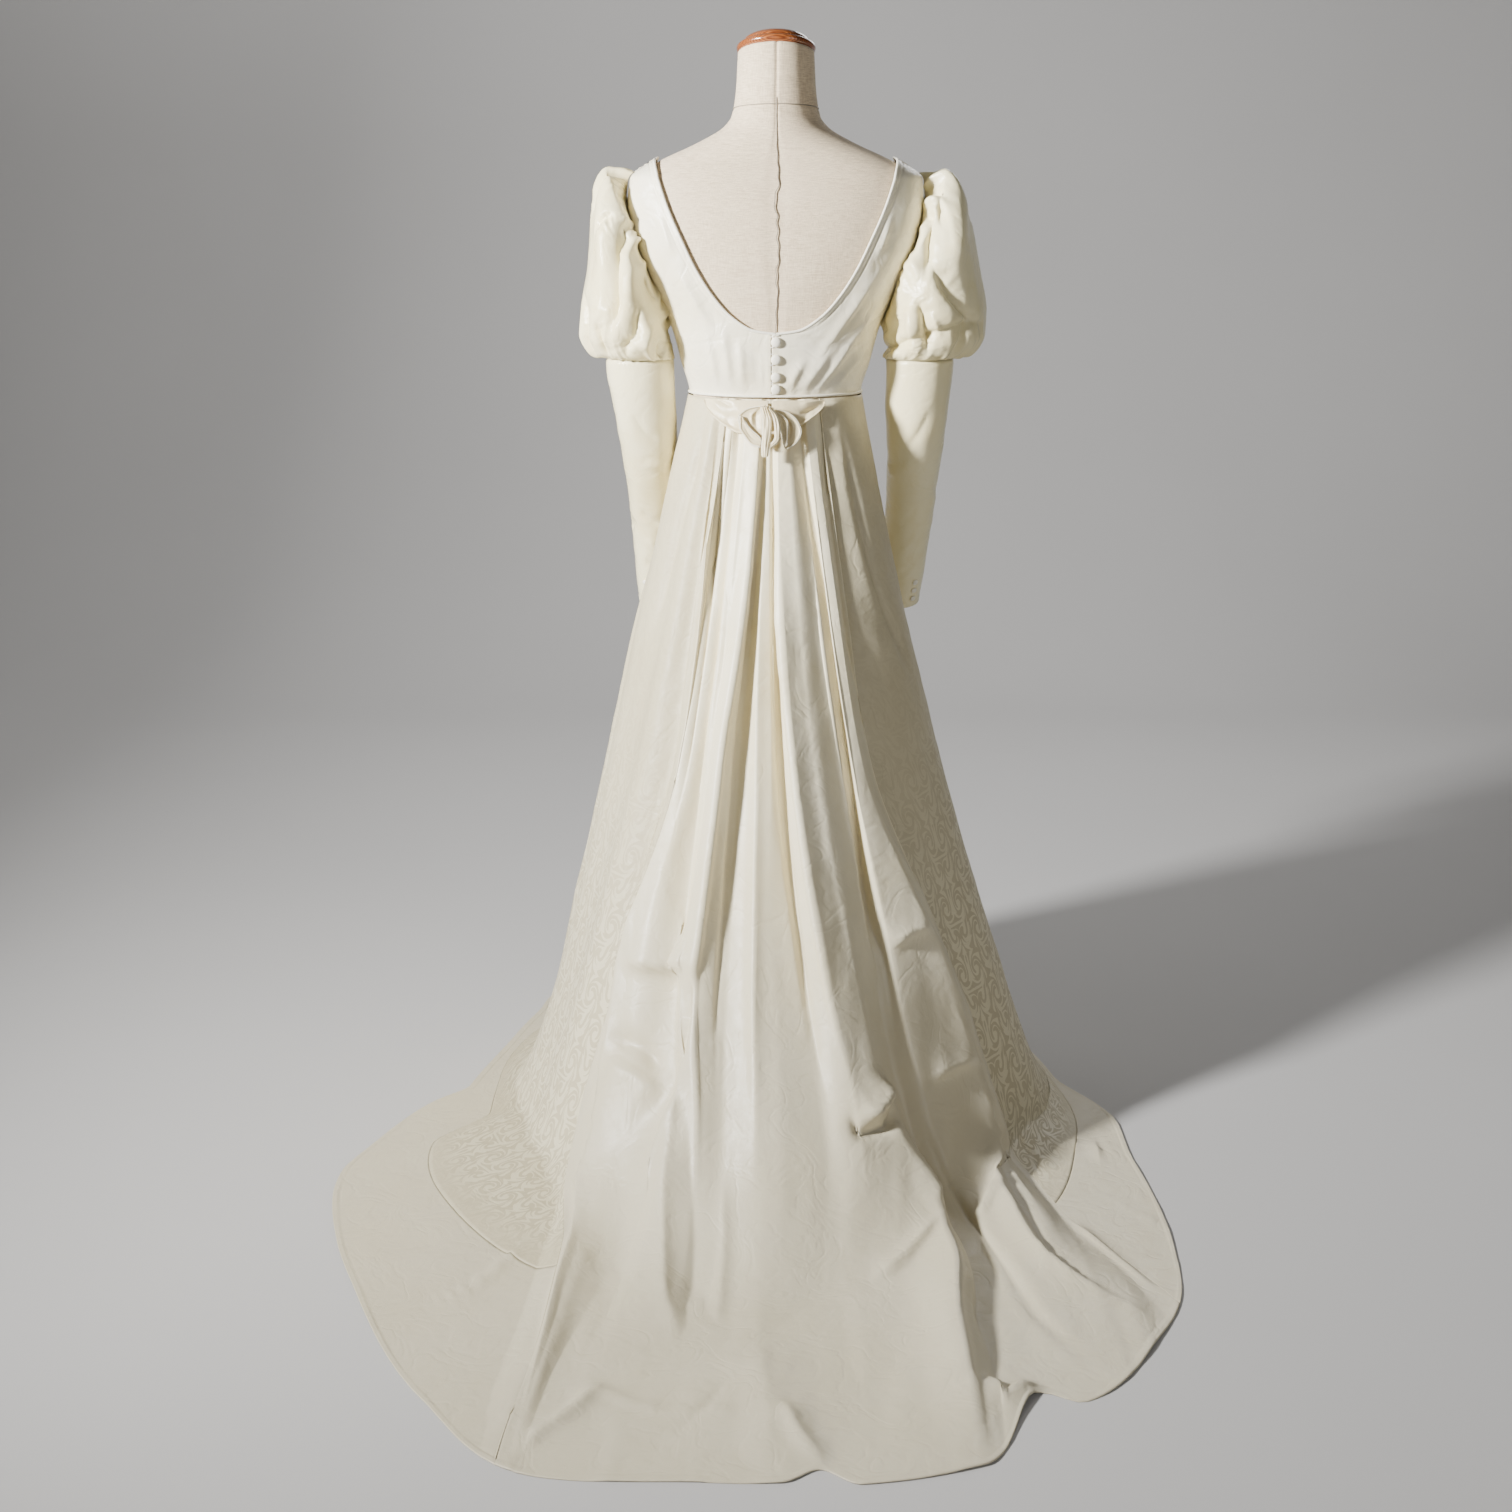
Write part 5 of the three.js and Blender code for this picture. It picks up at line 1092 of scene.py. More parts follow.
def armhole_point(angle):
    """The armhole's edge on the right: 0 is the shoulder tip, 90 the front, 180 the underarm."""
    angle = np.mod(angle, 360)
    front = angle <= 180
    row = UNDERARM_ROW * np.where(front, angle, 360 - angle) / 180
    front_row, back_row = panel_edges(FRONT_ROWS, row, True), panel_edges(BACK_ROWS, row, False)
    z, around = [np.where(front, front_row[i], back_row[i]) for i in (2, 3)]
    return body_point(z, around, OUTER)


def puff_grid(side, rows=96, columns=240):
    """The puff's points for the right arm, with each one's station and angle."""
    station = (1 - np.cos(np.linspace(0, np.pi, rows))) / 2
    station = 0.5 * station + 0.5 * np.linspace(0, 1, rows)
    s, a = np.meshgrid(station, np.arange(columns) * 360 / columns, indexing="ij")
    right_top, right_under, left_top, left_under, top_z, under_z, deep = columns_of(PUFF_RINGS, s)
    top, under = (right_top, right_under) if side > 0 else (left_top, left_under)
    middle = stack((top + under) / 2, 0, (top_z + under_z) / 2)
    up = stack((top - under) / 2, 0, (top_z - under_z) / 2)
    point = middle + up * np.cos(np.radians(a))[..., None]
    point[..., 1] += np.sin(np.radians(a)) * deep
    edge = armhole_point(a) + np.array([2.0, 0, 0])
    hold = smoothstep(s, 0, 0.1)[..., None]
    return edge * (1 - hold) + point * hold, s, a


def gathers(s, a, seed, count, rise):
    """Small uneven gathers that run in from both of the puff's seams."""
    rng = np.random.default_rng(seed)
    total = np.zeros_like(s)
    for away, strength in ((s, 1.0), (1 - s, 0.6)):
        for _ in range(count):
            centre, width = rng.uniform(0, 360), rng.uniform(1.7, 3.8)
            length, height = rng.uniform(0.08, 0.34), rng.uniform(0.4, 1.0) * rise * strength
            lean = rng.uniform(-40, 40)
            off = (a - centre - lean * away + 180) % 360 - 180
            shape = np.exp(-((off / (width * (1 + 4 * away))) ** 2)) * np.exp(-((away / length) ** 2))
            total += height * shape * smoothstep(away, 0.0, 0.025)
    return total


# Large folds of the puffs, right and left: rise, widths, and the line as stations and angles.
PUFF_FOLDS = {
    1: [
        (-9, 6, 8, [(0.05, 324), (0.16, 299), (0.24, 292)]),
        (-13, 6, 8, [(0.02, 310), (0.12, 280), (0.21, 268), (0.33, 262)]),
        (9, 12, 12, [(0.08, 331), (0.22, 322), (0.34, 313), (0.46, 301), (0.62, 312)]),
        (-11, 6, 9, [(0.23, 271), (0.45, 278), (0.66, 296), (0.82, 328)]),
        (9, 5, 8, [(0.28, 240), (0.53, 242), (0.75, 242), (0.94, 249)]),
        (-12, 5, 6, [(0.35, 249), (0.55, 253), (0.75, 254), (0.93, 262)]),
        (-8, 6, 7, [(0.16, 219), (0.5, 208), (0.85, 202)]),
        (4, 3, 3, [(0.56, 262), (0.70, 268), (0.84, 276)]),
        (-9, 7, 8, [(0.98, 300), (0.84, 303), (0.72, 318)]),
        (-8, 7, 8, [(0.03, 350), (0.2, 352), (0.42, 346)]),
        (-9, 7, 8, [(0.98, 352), (0.82, 350), (0.62, 4)]),
        (-10, 7, 9, [(0.02, 52), (0.15, 74), (0.42, 82), (0.7, 76)]),
        (8, 12, 12, [(0.12, 34), (0.35, 48), (0.6, 52)]),
        (-10, 6, 8, [(0.35, 108), (0.6, 104), (0.95, 92)]),
        (-8, 7, 8, [(0.98, 48), (0.8, 46), (0.62, 32)]),
        (-7, 6, 7, [(0.2, 140), (0.55, 150), (0.9, 146)]),
    ],
    -1: [
        (-14, 7, 10, [(0.02, 302), (0.16, 277), (0.39, 281), (0.63, 281), (0.77, 287), (0.87, 287)]),
        (9, 12, 12, [(0.14, 316), (0.34, 310), (0.5, 298), (0.66, 296)]),
        (-7, 5, 5, [(0.37, 322), (0.26, 309), (0.15, 299)]),
        (8, 9, 9, [(0.16, 268), (0.41, 268), (0.63, 272)]),
        (-10, 6, 8, [(0.42, 251), (0.62, 250), (0.80, 258), (0.97, 276)]),
        (8, 6, 8, [(0.5, 238), (0.7, 240), (0.9, 252)]),
        (-4, 2.5, 3, [(0.11, 254), (0.15, 242), (0.09, 226)]),
        (-9, 6, 8, [(0.98, 302), (0.88, 304), (0.76, 314)]),
        (-8, 7, 8, [(0.03, 346), (0.2, 340), (0.38, 344)]),
        (-9, 7, 8, [(0.98, 338), (0.84, 334), (0.66, 346)]),
        (-8, 6, 7, [(0.98, 228), (0.85, 222), (0.6, 218)]),
        (-10, 7, 9, [(0.02, 58), (0.18, 80), (0.4, 84), (0.68, 74)]),
        (8, 12, 12, [(0.12, 30), (0.35, 44), (0.6, 54)]),
        (-10, 6, 8, [(0.38, 112), (0.62, 106), (0.95, 90)]),
        (-8, 7, 8, [(0.98, 40), (0.8, 38), (0.62, 26)]),
        (-7, 6, 7, [(0.2, 146), (0.55, 152), (0.9, 150)]),
    ],
}


def puff_fold(base, normals, line, rise, before, after):
    """A valley is narrow and crisp, and a ridge is broad and round."""
    if rise < 0:
        return crease_heights(base, normals, line, 1.1 * rise, 0.7 * before, 1.7 * after, 0.3, 1.1)
    return crease_heights(base, normals, line, rise, 1.6 * before, 1.6 * after, 0.4, 1.6)


def build_puff(side):
    base, s, a = puff_grid(side)
    normals = grid_normals(base, True)
    height = gathers(s, a, 5 if side > 0 else 6, 34, 5.0)
    arc = np.radians(a) * 75
    height += 2.6 * rumple(arc, s * 230, 50 + side, 5.0, 30.0) * np.sin(np.pi * s)
    for rise, before, after, line in PUFF_FOLDS[side]:
        places = smooth_line(line)
        j = np.round(np.mod(places[:, 1], 360) / 360 * base.shape[1]).astype(int) % base.shape[1]
        i = np.argmin(np.abs(s[:, 0][None, :] - places[:, :1]), axis=1)
        height += puff_fold(base, normals, base[i, j], rise, before, after)
    limit = smoothstep(s, 0, 0.06) * smoothstep(1 - s, 0, 0.04)
    moved = base + normals * (height * (0.15 + 0.85 * limit))[..., None]
    sleeve_cloth(side, moved, "puff", "sleeve_puff")


def sleeve_point(side, z, angle, grow=0.0):
    """The lower sleeve's surface for the right arm, tilted as the arm is."""
    right, left, forward, radius = columns_of(SLEEVE_RINGS, z)
    lower, upper = [curve(SLEEVE_RINGS[:, 0], SLEEVE_RINGS[:, 3], z + off) for off in (-5, 5)]
    tilt = np.arctan2(lower - upper, 10) * smoothstep(1095 - z, 0, 60)
    across = (radius + grow) * np.cos(np.radians(angle))
    deep = (radius + grow) * np.sin(np.radians(angle))
    middle = right if side > 0 else left
    return stack(middle + across, forward + deep * np.cos(tilt), z + deep * np.sin(tilt))


# Darts at the elbow and wrinkles, right and left: rise, widths, and the line as heights and angles.
SLEEVE_CREASES = {
    1: [
        (-2.2, 1.3, 1.6, [(946, 184), (962, 222), (982, 263)]),
        (1.1, 5, 7, [(938, 190), (952, 228), (970, 268)]),
        (-1.5, 4, 6, [(905, 282), (884, 262), (872, 238)]),
        (-2.6, 4, 6, [(1040, 290), (1010, 268), (990, 244)]),
        (2.4, 5, 6, [(860, 292), (838, 270), (826, 246)]),
        (-2.4, 4, 4, [(806, 296), (792, 270), (784, 246)]),
        (-3.0, 4, 6, [(930, 60), (910, 90), (900, 120)]),
        (-2.6, 4, 6, [(880, 70), (862, 96), (850, 130)]),
        (-2.4, 4, 5, [(1060, 80), (1030, 100), (1004, 110)]),
        (-2.4, 4, 4, [(800, 60), (788, 88), (780, 110)]),
        (-2.4, 5, 6, [(1070, 350), (1030, 345), (990, 352)]),
    ],
    -1: [
        (-2.6, 1.6, 1.3, [(978, 287), (976, 250), (970, 214)]),
        (2.2, 7, 5, [(968, 285), (965, 250), (960, 218)]),
        (-3.6, 4, 6, [(872, 318), (856, 340), (842, 356)]),
        (-2.8, 4, 6, [(896, 300), (880, 276), (868, 250)]),
        (-2.6, 4, 6, [(1036, 292), (1014, 270), (1000, 240)]),
        (2.4, 5, 6, [(850, 286), (832, 268), (820, 240)]),
        (-2.4, 4, 4, [(812, 300), (796, 276), (786, 250)]),
        (-3.0, 4, 6, [(926, 64), (908, 92), (896, 124)]),
        (-2.6, 4, 6, [(876, 72), (860, 98), (846, 132)]),
        (-2.4, 4, 5, [(1064, 76), (1034, 98), (1008, 112)]),
        (-2.4, 4, 4, [(796, 62), (786, 90), (778, 112)]),
        (-2.4, 5, 6, [(1066, 352), (1032, 348), (996, 354)]),
    ],
}


# The heights of the sleeve's end, of its seam with the puff, and the depth of the cuff's hem.
CUFF, SLEEVE_TOP, CUFF_HEM = 722, 1096.5, 11
SLEEVE_SIDES = 96
CUFF_BUTTON_SPACING = 14


def build_sleeve(side):
    in_puff = [1102.0, 1100.0, 1098.0]
    z = np.concatenate([in_puff, np.linspace(SLEEVE_TOP, 740, 100), np.linspace(740, CUFF, 10)[1:]])
    level, a = np.meshgrid(z, np.arange(SLEEVE_SIDES) * 360 / SLEEVE_SIDES, indexing="ij")
    base = sleeve_point(side, level, a)
    normals = grid_normals(base, True)
    arc = np.radians(a) * 38
    height = 1.1 * rumple(arc, level, 60 + side, 2.2, 24.0)
    elbow = np.exp(-(((level - 930) / 90) ** 2))
    height += 1.2 * elbow * lumps(np.stack([arc / 60, level / 17], -1), 1.0, 70 + side)
    height += creases_over(base, normals, SLEEVE_CREASES[side], partial(sleeve_point, side))
    above = level - CUFF
    height *= smoothstep(SLEEVE_TOP - level, 0, 12) * (0.3 + 0.7 * smoothstep(above, 0, 25))
    height += 0.5 * (1 - smoothstep(above, 9, 10.5)) - 0.45 * np.exp(-(((above - CUFF_HEM) / 1.2) ** 2))
    height -= 2.4 * smoothstep(level, 1095.5, 1098.5)
    sleeve_cloth(side, base + normals * height[..., None], "lower_sleeve", "sleeve_lower")


# ---- Buttons ----
def button(name, radius, dome, place, facing, node):
    """A covered button: a padded dome with the cloth drawn in under its rim."""
    turn = np.radians(np.linspace(0, 90, 12))
    profile = [(radius * 0.55, 0), (radius * 0.85, dome * 0.08), (radius * 0.97, dome * 0.22)]
    profile += [(radius * np.cos(t), dome * 0.35 + dome * 0.65 * np.sin(t)) for t in turn[:-1]]
    profile.append((radius * 0.02, dome))
    piece = lathe(name, profile, 40)
    co = read_vertices(piece)
    spin = np.arctan2(co[:, 1], co[:, 0])
    co[:, :2] *= (1 + 0.012 * np.cos(11 * spin) * (1 - co[:, 2] / dome))[:, None]
    turned = co @ np.array(Vector(facing).to_track_quat("Z", "Y").to_matrix()).T
    write_vertices(piece, turned + place)
    layer = piece.data.uv_layers.new(name="cloth")
    for loop in piece.data.loops:
        x, _, z = turned[loop.vertex_index]
        layer.data[loop.index].uv = (x * MM, z * MM)
    finished(piece, PIPING, "button_cloth", node)


def build_buttons():
    turn = np.radians(np.linspace(100, -100, 16))
    for number, z in enumerate(BUTTON_HEIGHTS, 1):
        at, inside = [body_point(float(z), 0.0, distance) for distance in (OUTER + 0.5, 0.0)]
        button(f"button_{number}", 7.0, 5.6, at, at - inside, f"back_button_{number}")
        line = stack(-7.0 + 7.4 * np.cos(turn) * 0.9, at[1] - 1.0, at[2] + 7.2 * np.sin(turn))
        finished(tube(f"button_loop_{number}", line, 0.55), LOOP_THREAD, "button_cloth")
    for side in (-1, 1):
        for number in (1, 2, 3):
            z = CUFF + 6.0 + CUFF_BUTTON_SPACING * number
            at, inside = [sleeve_point(side, z, 300.0, grow) * (side, 1, 1) for grow in (1.1, -20.0)]
            name = f"{SIDES[side]}_{number}"
            button(f"cuff_{name}", 4.5, 3.2, at, at - inside, f"cuff_button_{name}")


# ---- The dress form ----
NECK_TILT = math.radians(12.5)
FORM_NECK_SEAM = 1428.0


def tilt_neck(points, level):
    """Tilts the form's neck, whose points were made level."""
    points[..., 2] -= smoothstep(level, 1430, 1498) * math.tan(NECK_TILT) * points[..., 1]


def build_form():
    spans = [(1498, 1360, 46), (1358, 1000, 90), (996, 800, 30)]
    z = np.concatenate([np.linspace(*span) for span in spans])
    level, a = np.meshgrid(z, np.arange(180) * 2.0, indexing="ij")
    grid = section_point(level, a)
    normals = grid_normals(grid, True)
    off = (a + 180) % 360 - 180
    arc, front_arc = np.radians(off) * 90, np.radians(np.abs(off) - 180) * 90
    pucker = lumps(np.stack([arc / 7.0, level / 26.0], -1), 1.0, 81)
    height = -2.0 * np.exp(-((arc / 2.2) ** 2)) + 0.7 * np.exp(-((arc / 9.0) ** 2)) * pucker
    height -= 0.8 * np.exp(-((front_arc / 1.6) ** 2))
    height -= 1.3 * np.exp(-(((level - FORM_NECK_SEAM - 4 * np.cos(np.radians(a))) / 1.7) ** 2))
    grid = grid + normals * height[..., None]
    tilt_neck(grid, level)
    finished(new_object("form_cover", grid, ring_faces(*a.shape, True)), LINEN, "form_linen", "form_body")

    down = np.linspace(1440, 1130, 156)
    sway = lumps(np.stack([down / 24.0, np.full_like(down, 0.5)], -1), 1.0, 83)
    back_line = section_point(down, 0.4 * sway + 0.1 * np.sin(down / 3.1))
    around = np.arange(120) * 3.0
    neck_line = section_point(FORM_NECK_SEAM + 4 * np.cos(np.radians(around)), around)
    for line in (back_line, neck_line):
        tilt_neck(line, line[:, 2])
    finished(tube("form_back_seam", back_line, 0.75), SEAM_THREAD, "form_linen")
    finished(tube("form_neck_seam", neck_line, 0.6, closed=True), SEAM_THREAD, "form_linen")


# Radius and height along the rim of the neck cap, the pole and the base, and the cap's own height
CAP_RIM = [(20, 0), (46, 0), (50, 1.2), (52.4, 3.4), (53, 6), (52.2, 8.6), (50, 10.4), (46.5, 11.2),
           (45.6, 12.4)]
CAP_HEIGHT = 1498.3
POLE = [(13.2, 22.3), (14, 23.2), (14, 799), (13.2, 799.7)]
BASE = [(158.5, 0), (160, 1.5), (160, 11), (159, 14.5), (156.5, 17), (152, 19), (60, 21.8), (14, 22),
        (2, 22)]


def build_stand():
    dome = [(44.6 * np.cos(t), 12.6 + 14.4 * np.sin(t)) for t in np.radians(np.linspace(0, 88, 18))]
    cap = lathe("neck_cap_wood", CAP_RIM + dome, 128)
    x, y, z = read_vertices(cap).T
    cosine, sine = np.cos(NECK_TILT), np.sin(NECK_TILT)
    write_vertices(cap, stack(x, y * cosine + z * sine, CAP_HEIGHT - y * sine + z * cosine))
    finished(cap, WOOD, "cap_wood", "form_neck_cap")
    finished(lathe("pole_tube", POLE, 64), STEEL, "stand_metal", "stand_pole")
    finished(lathe("base_plate", BASE, 128), STEEL, "stand_metal", "stand_base")


# ---- The swag and the bow below the closing ----
SWAG_OUT = 12.0
# The angle of each wing's corner and inner end, and how far it runs on under the bow.
SWAG_WINGS = {"left": (-49.0, -22.0, -4.5), "right": (31.0, 4.0, -2.5)}
# The soft folds of each wing: rise, width above and below, and places across and up.
SWAG_FOLDS = {
    "left": [
        (2.2, 4, 5, [(-84, 1050), (-72, 1036), (-58, 1024)]),
        (-2.4, 3, 4, [(-78, 1052), (-66, 1043), (-52, 1036)]),
        (-1.6, 3, 3, [(-66, 1024), (-58, 1014), (-50, 1009)]),
        (1.5, 3, 3, [(-70, 1052), (-58, 1049), (-46, 1046)]),
    ],
    "right": [
        (-3.0, 3, 4, [(58, 1040), (42, 1033), (28, 1030)]),
        (2.4, 4, 5, [(58, 1052), (44, 1046), (28, 1042)]),
        (1.8, 3, 4, [(50, 1032), (42, 1022), (34, 1014)]),
        (-1.6, 3, 3, [(48, 1040), (38, 1026), (30, 1018)]),
    ],
}


def flat_folds(grid, folds):
    """Heights of folds given by places across and up, seen from behind."""
    def as_seen(x, z):
        return stack(x, 0, z)

    seen = as_seen(grid[..., 0], grid[..., 2])
    facing = np.broadcast_to(np.array([0.0, -1.0, 0.0]), seen.shape)
    return creases_over(seen, facing, folds, as_seen, 0.35)


def build_swag(side, corner, inner, under):
    down, angle = np.meshgrid(np.linspace(0, 1, 44), np.linspace(corner, under, 84), indexing="ij")
    inward = np.clip((angle - corner) / (inner - corner), 0, 1)
    station = 0.0012 + 0.0215 * down * (0.06 + 0.94 * inward ** 0.65)
    grid = fall_point(angle, station)
    pleats = 1.7 * np.sin(np.pi * (2.6 * down - 0.2 * inward)) * inward
    tucked = smoothstep(down, 0.97, 1)
    roll = 1.8 * smoothstep(down, 0.84, 0.95) * (1 - tucked) - 2.0 * tucked
    folds = flat_folds(grid, SWAG_FOLDS[side]) * smoothstep(down, 0, 0.1)
    out = SWAG_OUT + pleats + roll - 3.5 * (1 - inward) + folds
    grid = grid + fall_normal(angle, station) * out[..., None]
    grid = grid if inner > corner else grid[:, ::-1]
    finished(shell(f"swag_{side}_cloth", grid, 1.0), SHADED_BOW_SATIN, "bow_satin", f"swag_{side}")


BOW_X, BOW_Z, BOW_BACK, BOW_LEAN, BOW_ROUNDING = -16.0, 1046.0, -109.0, 0.2, 0.0025
# Each piece of the bow: how far it stands out at its rails and midway, its two rails as places
# across and up, and its own folds.
BOW_STRIPS = {
    "bow_loop_left": (
        5, 3,
        [(-14, 1044), (-36, 1041), (-51, 1028), (-46, 1010), (-33, 993), (-20, 989)],
        [(-12, 1040), (-13, 1032), (-14, 1022), (-15, 1012), (-16, 1002), (-17, 993)],
        [(2.2, 3, 1.6, [(-22, 1041), (-33, 1030), (-31, 1014)]),
         (2.4, 1.6, 3, [(-18, 1040), (-20, 1028), (-19, 1008)]),
         (-2.4, 2.4, 2.4, [(-27, 1038), (-27, 1024), (-25, 1010)])],
    ),
    "bow_loop_left_inner": (
        8.5, 8,
        [(-49, 1031), (-49, 1017), (-42, 1004), (-33, 994), (-21, 990.5)],
        [(-45, 1030), (-38, 1018), (-31, 1011), (-25, 1006), (-20, 1001)],
        [(-1.6, 1.6, 1.6, [(-44, 1020), (-35, 1005), (-26, 998)])],
    ),
    "bow_band": (
        11.5, 15,
        [(-21, 1043), (-18, 1025), (-18, 1007), (-19.5, 992), (-19, 978)],
        [(-12, 1044), (-6, 1024), (-7, 1008), (-9.5, 994), (-11, 978)],
        [(-1.4, 1.2, 1.6, [(-17, 1043), (-13, 1028), (-13, 1010)]),
         (1.0, 1.2, 1.4, [(-14, 1018), (-14.5, 998), (-15, 982)])],
    ),
    "bow_fold": (
        12, 16,
        [(-9, 1044), (1, 1033), (5.5, 1016), (5, 1002), (-1, 993.5), (-8, 989.5)],
        [(-10, 1040), (-3.5, 1028), (-1.5, 1014), (-1.5, 1004), (-4, 998.5), (-7.5, 995)],
        [(-1.3, 0.9, 1.2, [(-7, 1041), (0.5, 1024), (2, 1006)])],
    ),
    "bow_loop_right": (
        5, 3,
        [(-2, 1039), (13, 1036), (27, 1026), (34, 1010), (28, 996), (14, 987)],
        [(-1, 1035), (2, 1027), (4, 1018), (6.5, 1009), (8.5, 999), (11.5, 989)],
        [(2.2, 1.6, 3, [(4, 1036), (19, 1024), (24, 1006)]),
         (-2.4, 2, 2, [(12, 1031), (19, 1014), (17, 995)])],
    ),
    "bow_loop_right_inner": (
        8.5, 8,
        [(2, 1036), (10, 1030), (16, 1021), (15, 1006), (14.5, 991)],
        [(0, 1033), (3.5, 1023), (6.5, 1012), (9, 1002), (12.5, 991)],
        [(-1.2, 1.2, 1.2, [(6, 1029), (10.5, 1014), (12, 1000)])],
    ),
}


STRIP_GATHERS = 3.5


def build_strip(node, lift, middle, outer, inner, folds):
    """A strip of the bow between its two rails, gathered at its start, with a rim along each rail in the
    lighter piping satin, a painted highlight on its edges.
    """
    keys = np.arange(len(outer), dtype=float)
    along = np.linspace(0, keys[-1], 84)
    outer, inner = [np.stack([curve(keys, column, along) for column in np.array(rail, float).T], -1)
                    for rail in (outer, inner)]
    wide = np.linalg.norm(inner - outer, axis=-1)[:, None]
    across = np.linspace(0, 1, 32)[None, :]
    places = outer[:, None] + (inner - outer)[:, None] * across[..., None]
    x, z = places[..., 0], places[..., 1]
    rim = np.minimum(across, 1 - across) * wide
    raised = lift + (middle - lift) * np.sin(np.pi * across)
    raised = raised + 1.5 * np.exp(-(((rim - 1.3) / 1.0) ** 2)) - 0.9 * np.exp(-((rim / 0.6) ** 2))
    gathered = 0.8 * np.cos(2 * np.pi * STRIP_GATHERS * across) * smoothstep(wide, 2, 6)
    raised = raised + gathered * (1 - smoothstep(along / keys[-1], 0.0, 0.25))[:, None]
    raised = raised + flat_folds(stack(x, 0, z), folds) * smoothstep(rim, 1.0, 3.0)
    grid = stack(x, BOW_BACK - BOW_LEAN * (BOW_Z - z) + BOW_ROUNDING * (x - BOW_X) ** 2 - raised, z)
    rims = {"outer": grid[::2, 0], "inner": grid[::2, -1]}
    facing_back = grid_normals(grid)[46, 15, 1] < 0
    grid = grid if facing_back else grid[:, ::-1]
    finished(shell(f"{node}_cloth", grid, 0.9), SHADED_BOW_SATIN, "bow_satin", node)
    # Each rim is cut from the lighter piping satin: a painted highlight along the bow's edges.
    for edge, line in rims.items():
        cord = tube(f"{node}_{edge}_rim", line - np.array([0, 0.9, 0]), 0.6)
        finished(cord, PIPING, "bow_satin")


def build_bow():
    for side, angles in SWAG_WINGS.items():
        build_swag(side, *angles)
    for node, strip in BOW_STRIPS.items():
        build_strip(node, *strip)


# ---- The cloth's own sizes ----
# Each sheet: its piece, the width and length it is cut to, its flat area, how it is held and what
# it lies on.
SHEETS = [
    ("train_cloth", 1.13, 1.72, 0.960, "draped", []),
    ("gore_left_cloth", 0.88, 1.34, 0.421, "hung", []),
    ("gore_right_cloth", 0.60, 1.29, 0.291, "hung", []),
    ("front_cloth", 0.99, 1.14, 0.692, "hung", []),
    ("wing_left_cloth", 1.15, 0.38, 0.152, "laid", []),
    ("wing_right_cloth", 0.56, 0.28, 0.048, "laid", []),
    ("bodice_right_cloth", 0.20, 0.44, 0.039, "hung", ["form_body"]),
    ("bodice_left_cloth", 0.19, 0.43, 0.038, "hung", ["form_body"]),
    ("bodice_front_cloth", 0.46, 0.46, 0.096, "hung", ["form_body"]),
    ("puff_right_cloth", 0.61, 0.34, 0.100, "gathered", []),
    ("puff_left_cloth", 0.61, 0.33, 0.093, "gathered", []),
    ("lower_sleeve_right_cloth", 0.30, 0.44, 0.099, "hung", []),
    ("lower_sleeve_left_cloth", 0.30, 0.45, 0.099, "hung", []),
    ("swag_left_cloth", 0.120, 0.050, 0.0042, "draped", []),
    ("swag_right_cloth", 0.092, 0.050, 0.0030, "draped", []),
    ("bow_loop_left_cloth", 0.044, 0.098, 0.0020, "folded", []),
    ("bow_loop_left_inner_cloth", 0.019, 0.056, 0.0008, "folded", []),
    ("bow_band_cloth", 0.020, 0.069, 0.0012, "folded", []),
    ("bow_fold_cloth", 0.015, 0.066, 0.0009, "folded", []),
    ("bow_loop_right_cloth", 0.034, 0.084, 0.0015, "folded", []),
    ("bow_loop_right_inner_cloth", 0.018, 0.052, 0.0006, "folded", []),
]


def declare_sheets():
    pieces = bpy.data.objects
    for name, width, length, area, held, below in SHEETS:
        rims = [name.replace("cloth", edge) for edge in ("outer_rim", "inner_rim")]
        rims = [pieces[rim] for rim in rims if rim in pieces]


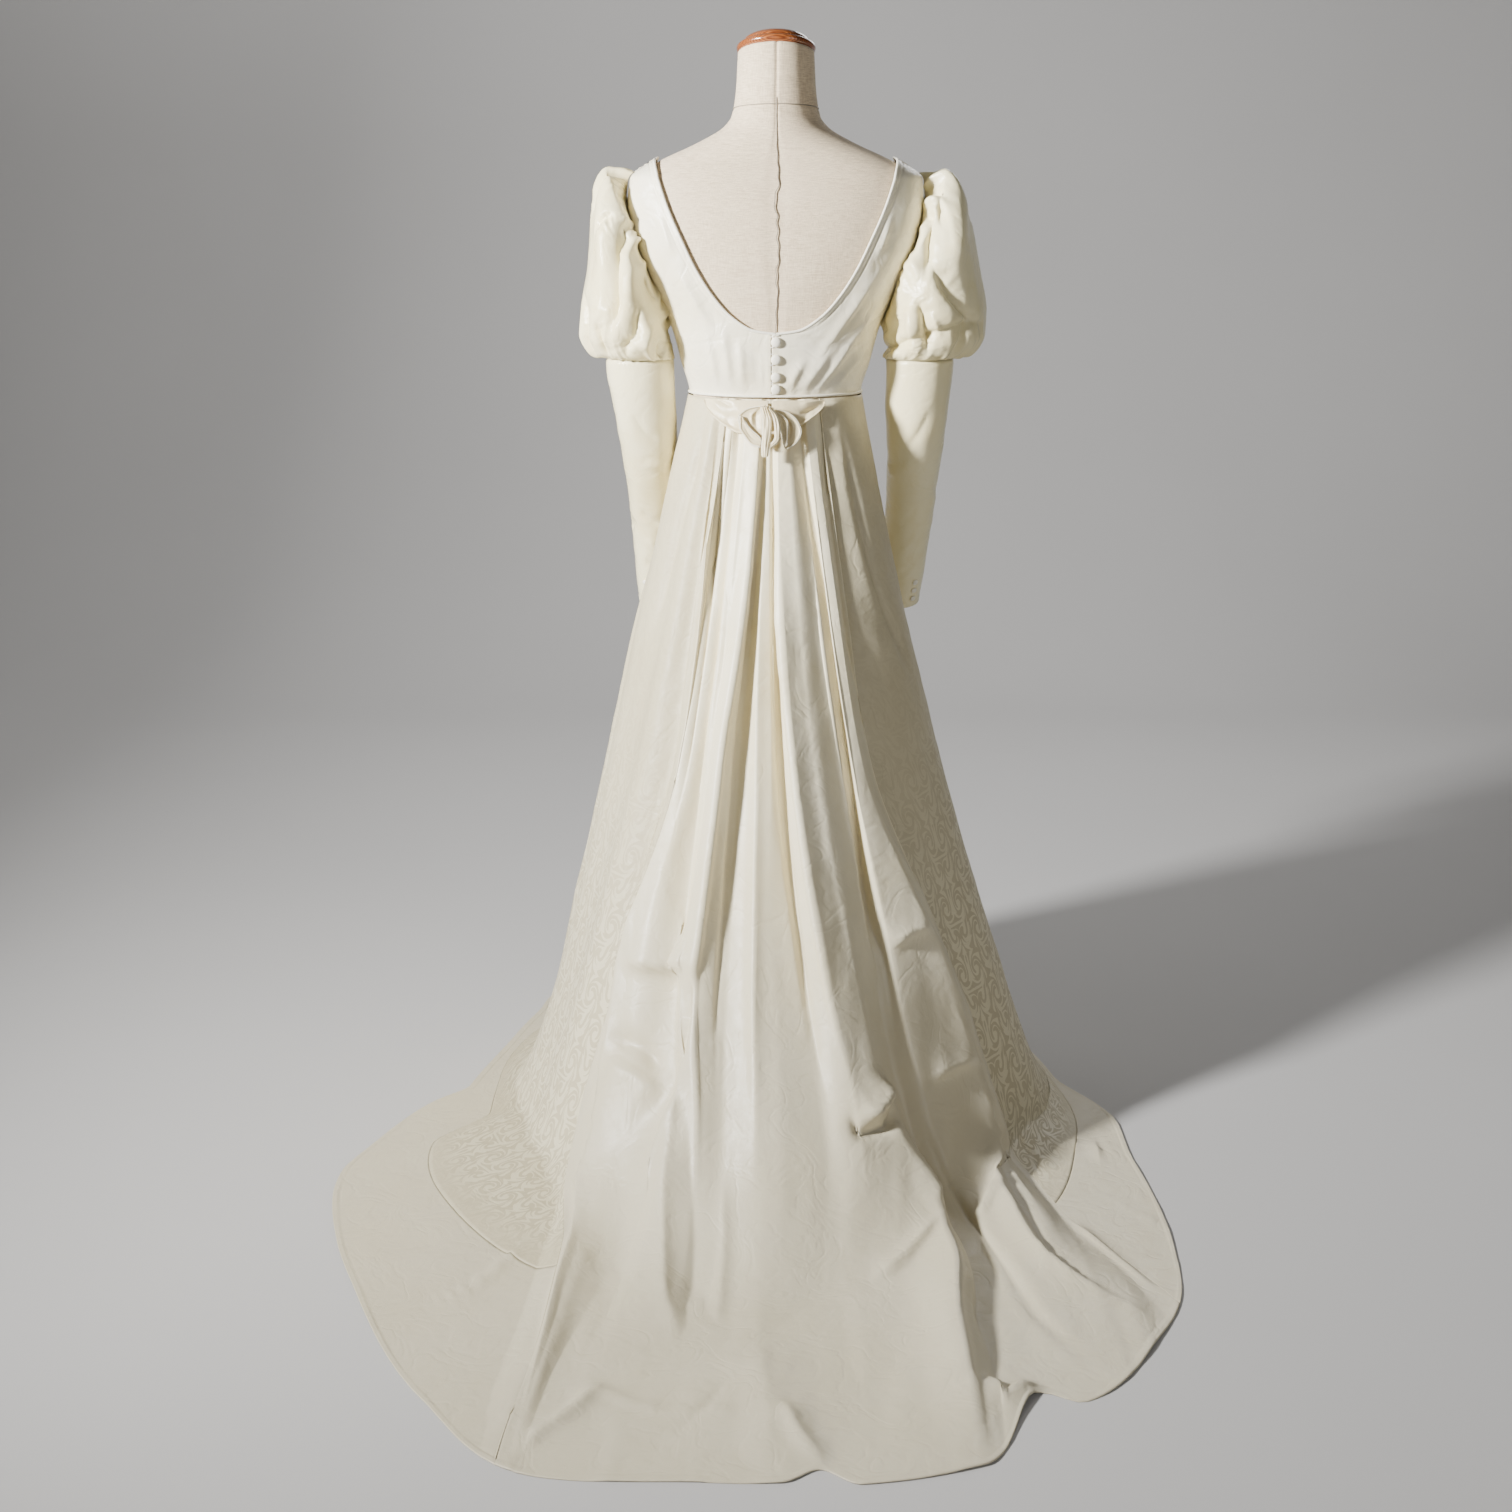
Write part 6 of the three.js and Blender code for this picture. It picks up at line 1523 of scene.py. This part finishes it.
# ---- The stage, the lights and the camera ----
def build_stage():
    bend = np.radians(np.linspace(0, 90, 24))
    back = np.concatenate([[-7000.0], 2200 + 1500 * np.sin(bend), [3700.0]])
    rise = np.concatenate([[0.0], 1500 * (1 - np.cos(bend)), [9000.0]])
    sweep = stack(np.array([[-8000.0, 8000.0]]), back[:, None], rise[:, None])
    floor = new_object("floor_sweep", sweep.reshape(-1, 3), grid_faces(len(back), 2, False))
    floor.data.materials.append(plain_floor())
    world = bpy.data.worlds.new("studio")
    world.use_nodes = True
    background = world.node_tree.nodes["Background"]
    background.inputs["Color"].default_value = rgb(0.80, 0.78, 0.75)
    background.inputs["Strength"].default_value = WORLD_LIGHT
    bpy.context.scene.world = world
    for name, place, aim, size, power, spread in LIGHTS:
        light = bpy.data.lights.new(name, "AREA")
        light.spread = math.radians(spread)
        light.shape = "DISK"
        light.size = size
        light.energy = power
        lamp = bpy.data.objects.new(name, light)
        lamp.location = place
        lamp.rotation_euler = (Vector(aim) - Vector(place)).to_track_quat("-Z", "Y").to_euler()
        bpy.context.scene.collection.objects.link(lamp)
    lens = bpy.data.cameras.new("camera")
    lens.sensor_width = 36
    lens.lens = 36 * 1900 / 1512
    camera = bpy.data.objects.new("camera", lens)
    camera.location = (-0.027, -2.7, 1.3)
    camera.rotation_euler = (math.radians(90 - 16.1), 0, 0)
    bpy.context.scene.collection.objects.link(camera)
    bpy.context.scene.camera = camera


WORLD_LIGHT = 0.04
# name, place, aim, size in metres, power in watts, spread in degrees
LIGHTS = [
    ("key", (-2.52, -1.7, 1.85), (0.0, -0.1, 1.35), 0.40, 108, 92),
    ("front", (-0.6, -3.4, 2.4), (-0.1, -0.2, 1.0), 1.2, 3, 120),
    ("fill", (2.4, -2.4, 1.5), (0.0, 0.0, 0.8), 1.6, 13, 150),
    ("backdrop", (-1.1, 1.3, 3.4), (-1.1, 3.6, 1.0), 2.4, 48, 160),
    ("behind", (1.3, 3.0, 2.7), (0.0, 0.2, 0.9), 1.6, 13, 120),
]

build_form()
build_stand()
build_skirt()
build_bodice()
build_cords()
for side in (1, -1):
    build_puff(side)
    build_sleeve(side)
build_buttons()
build_bow()
declare_sheets()
build_stage()
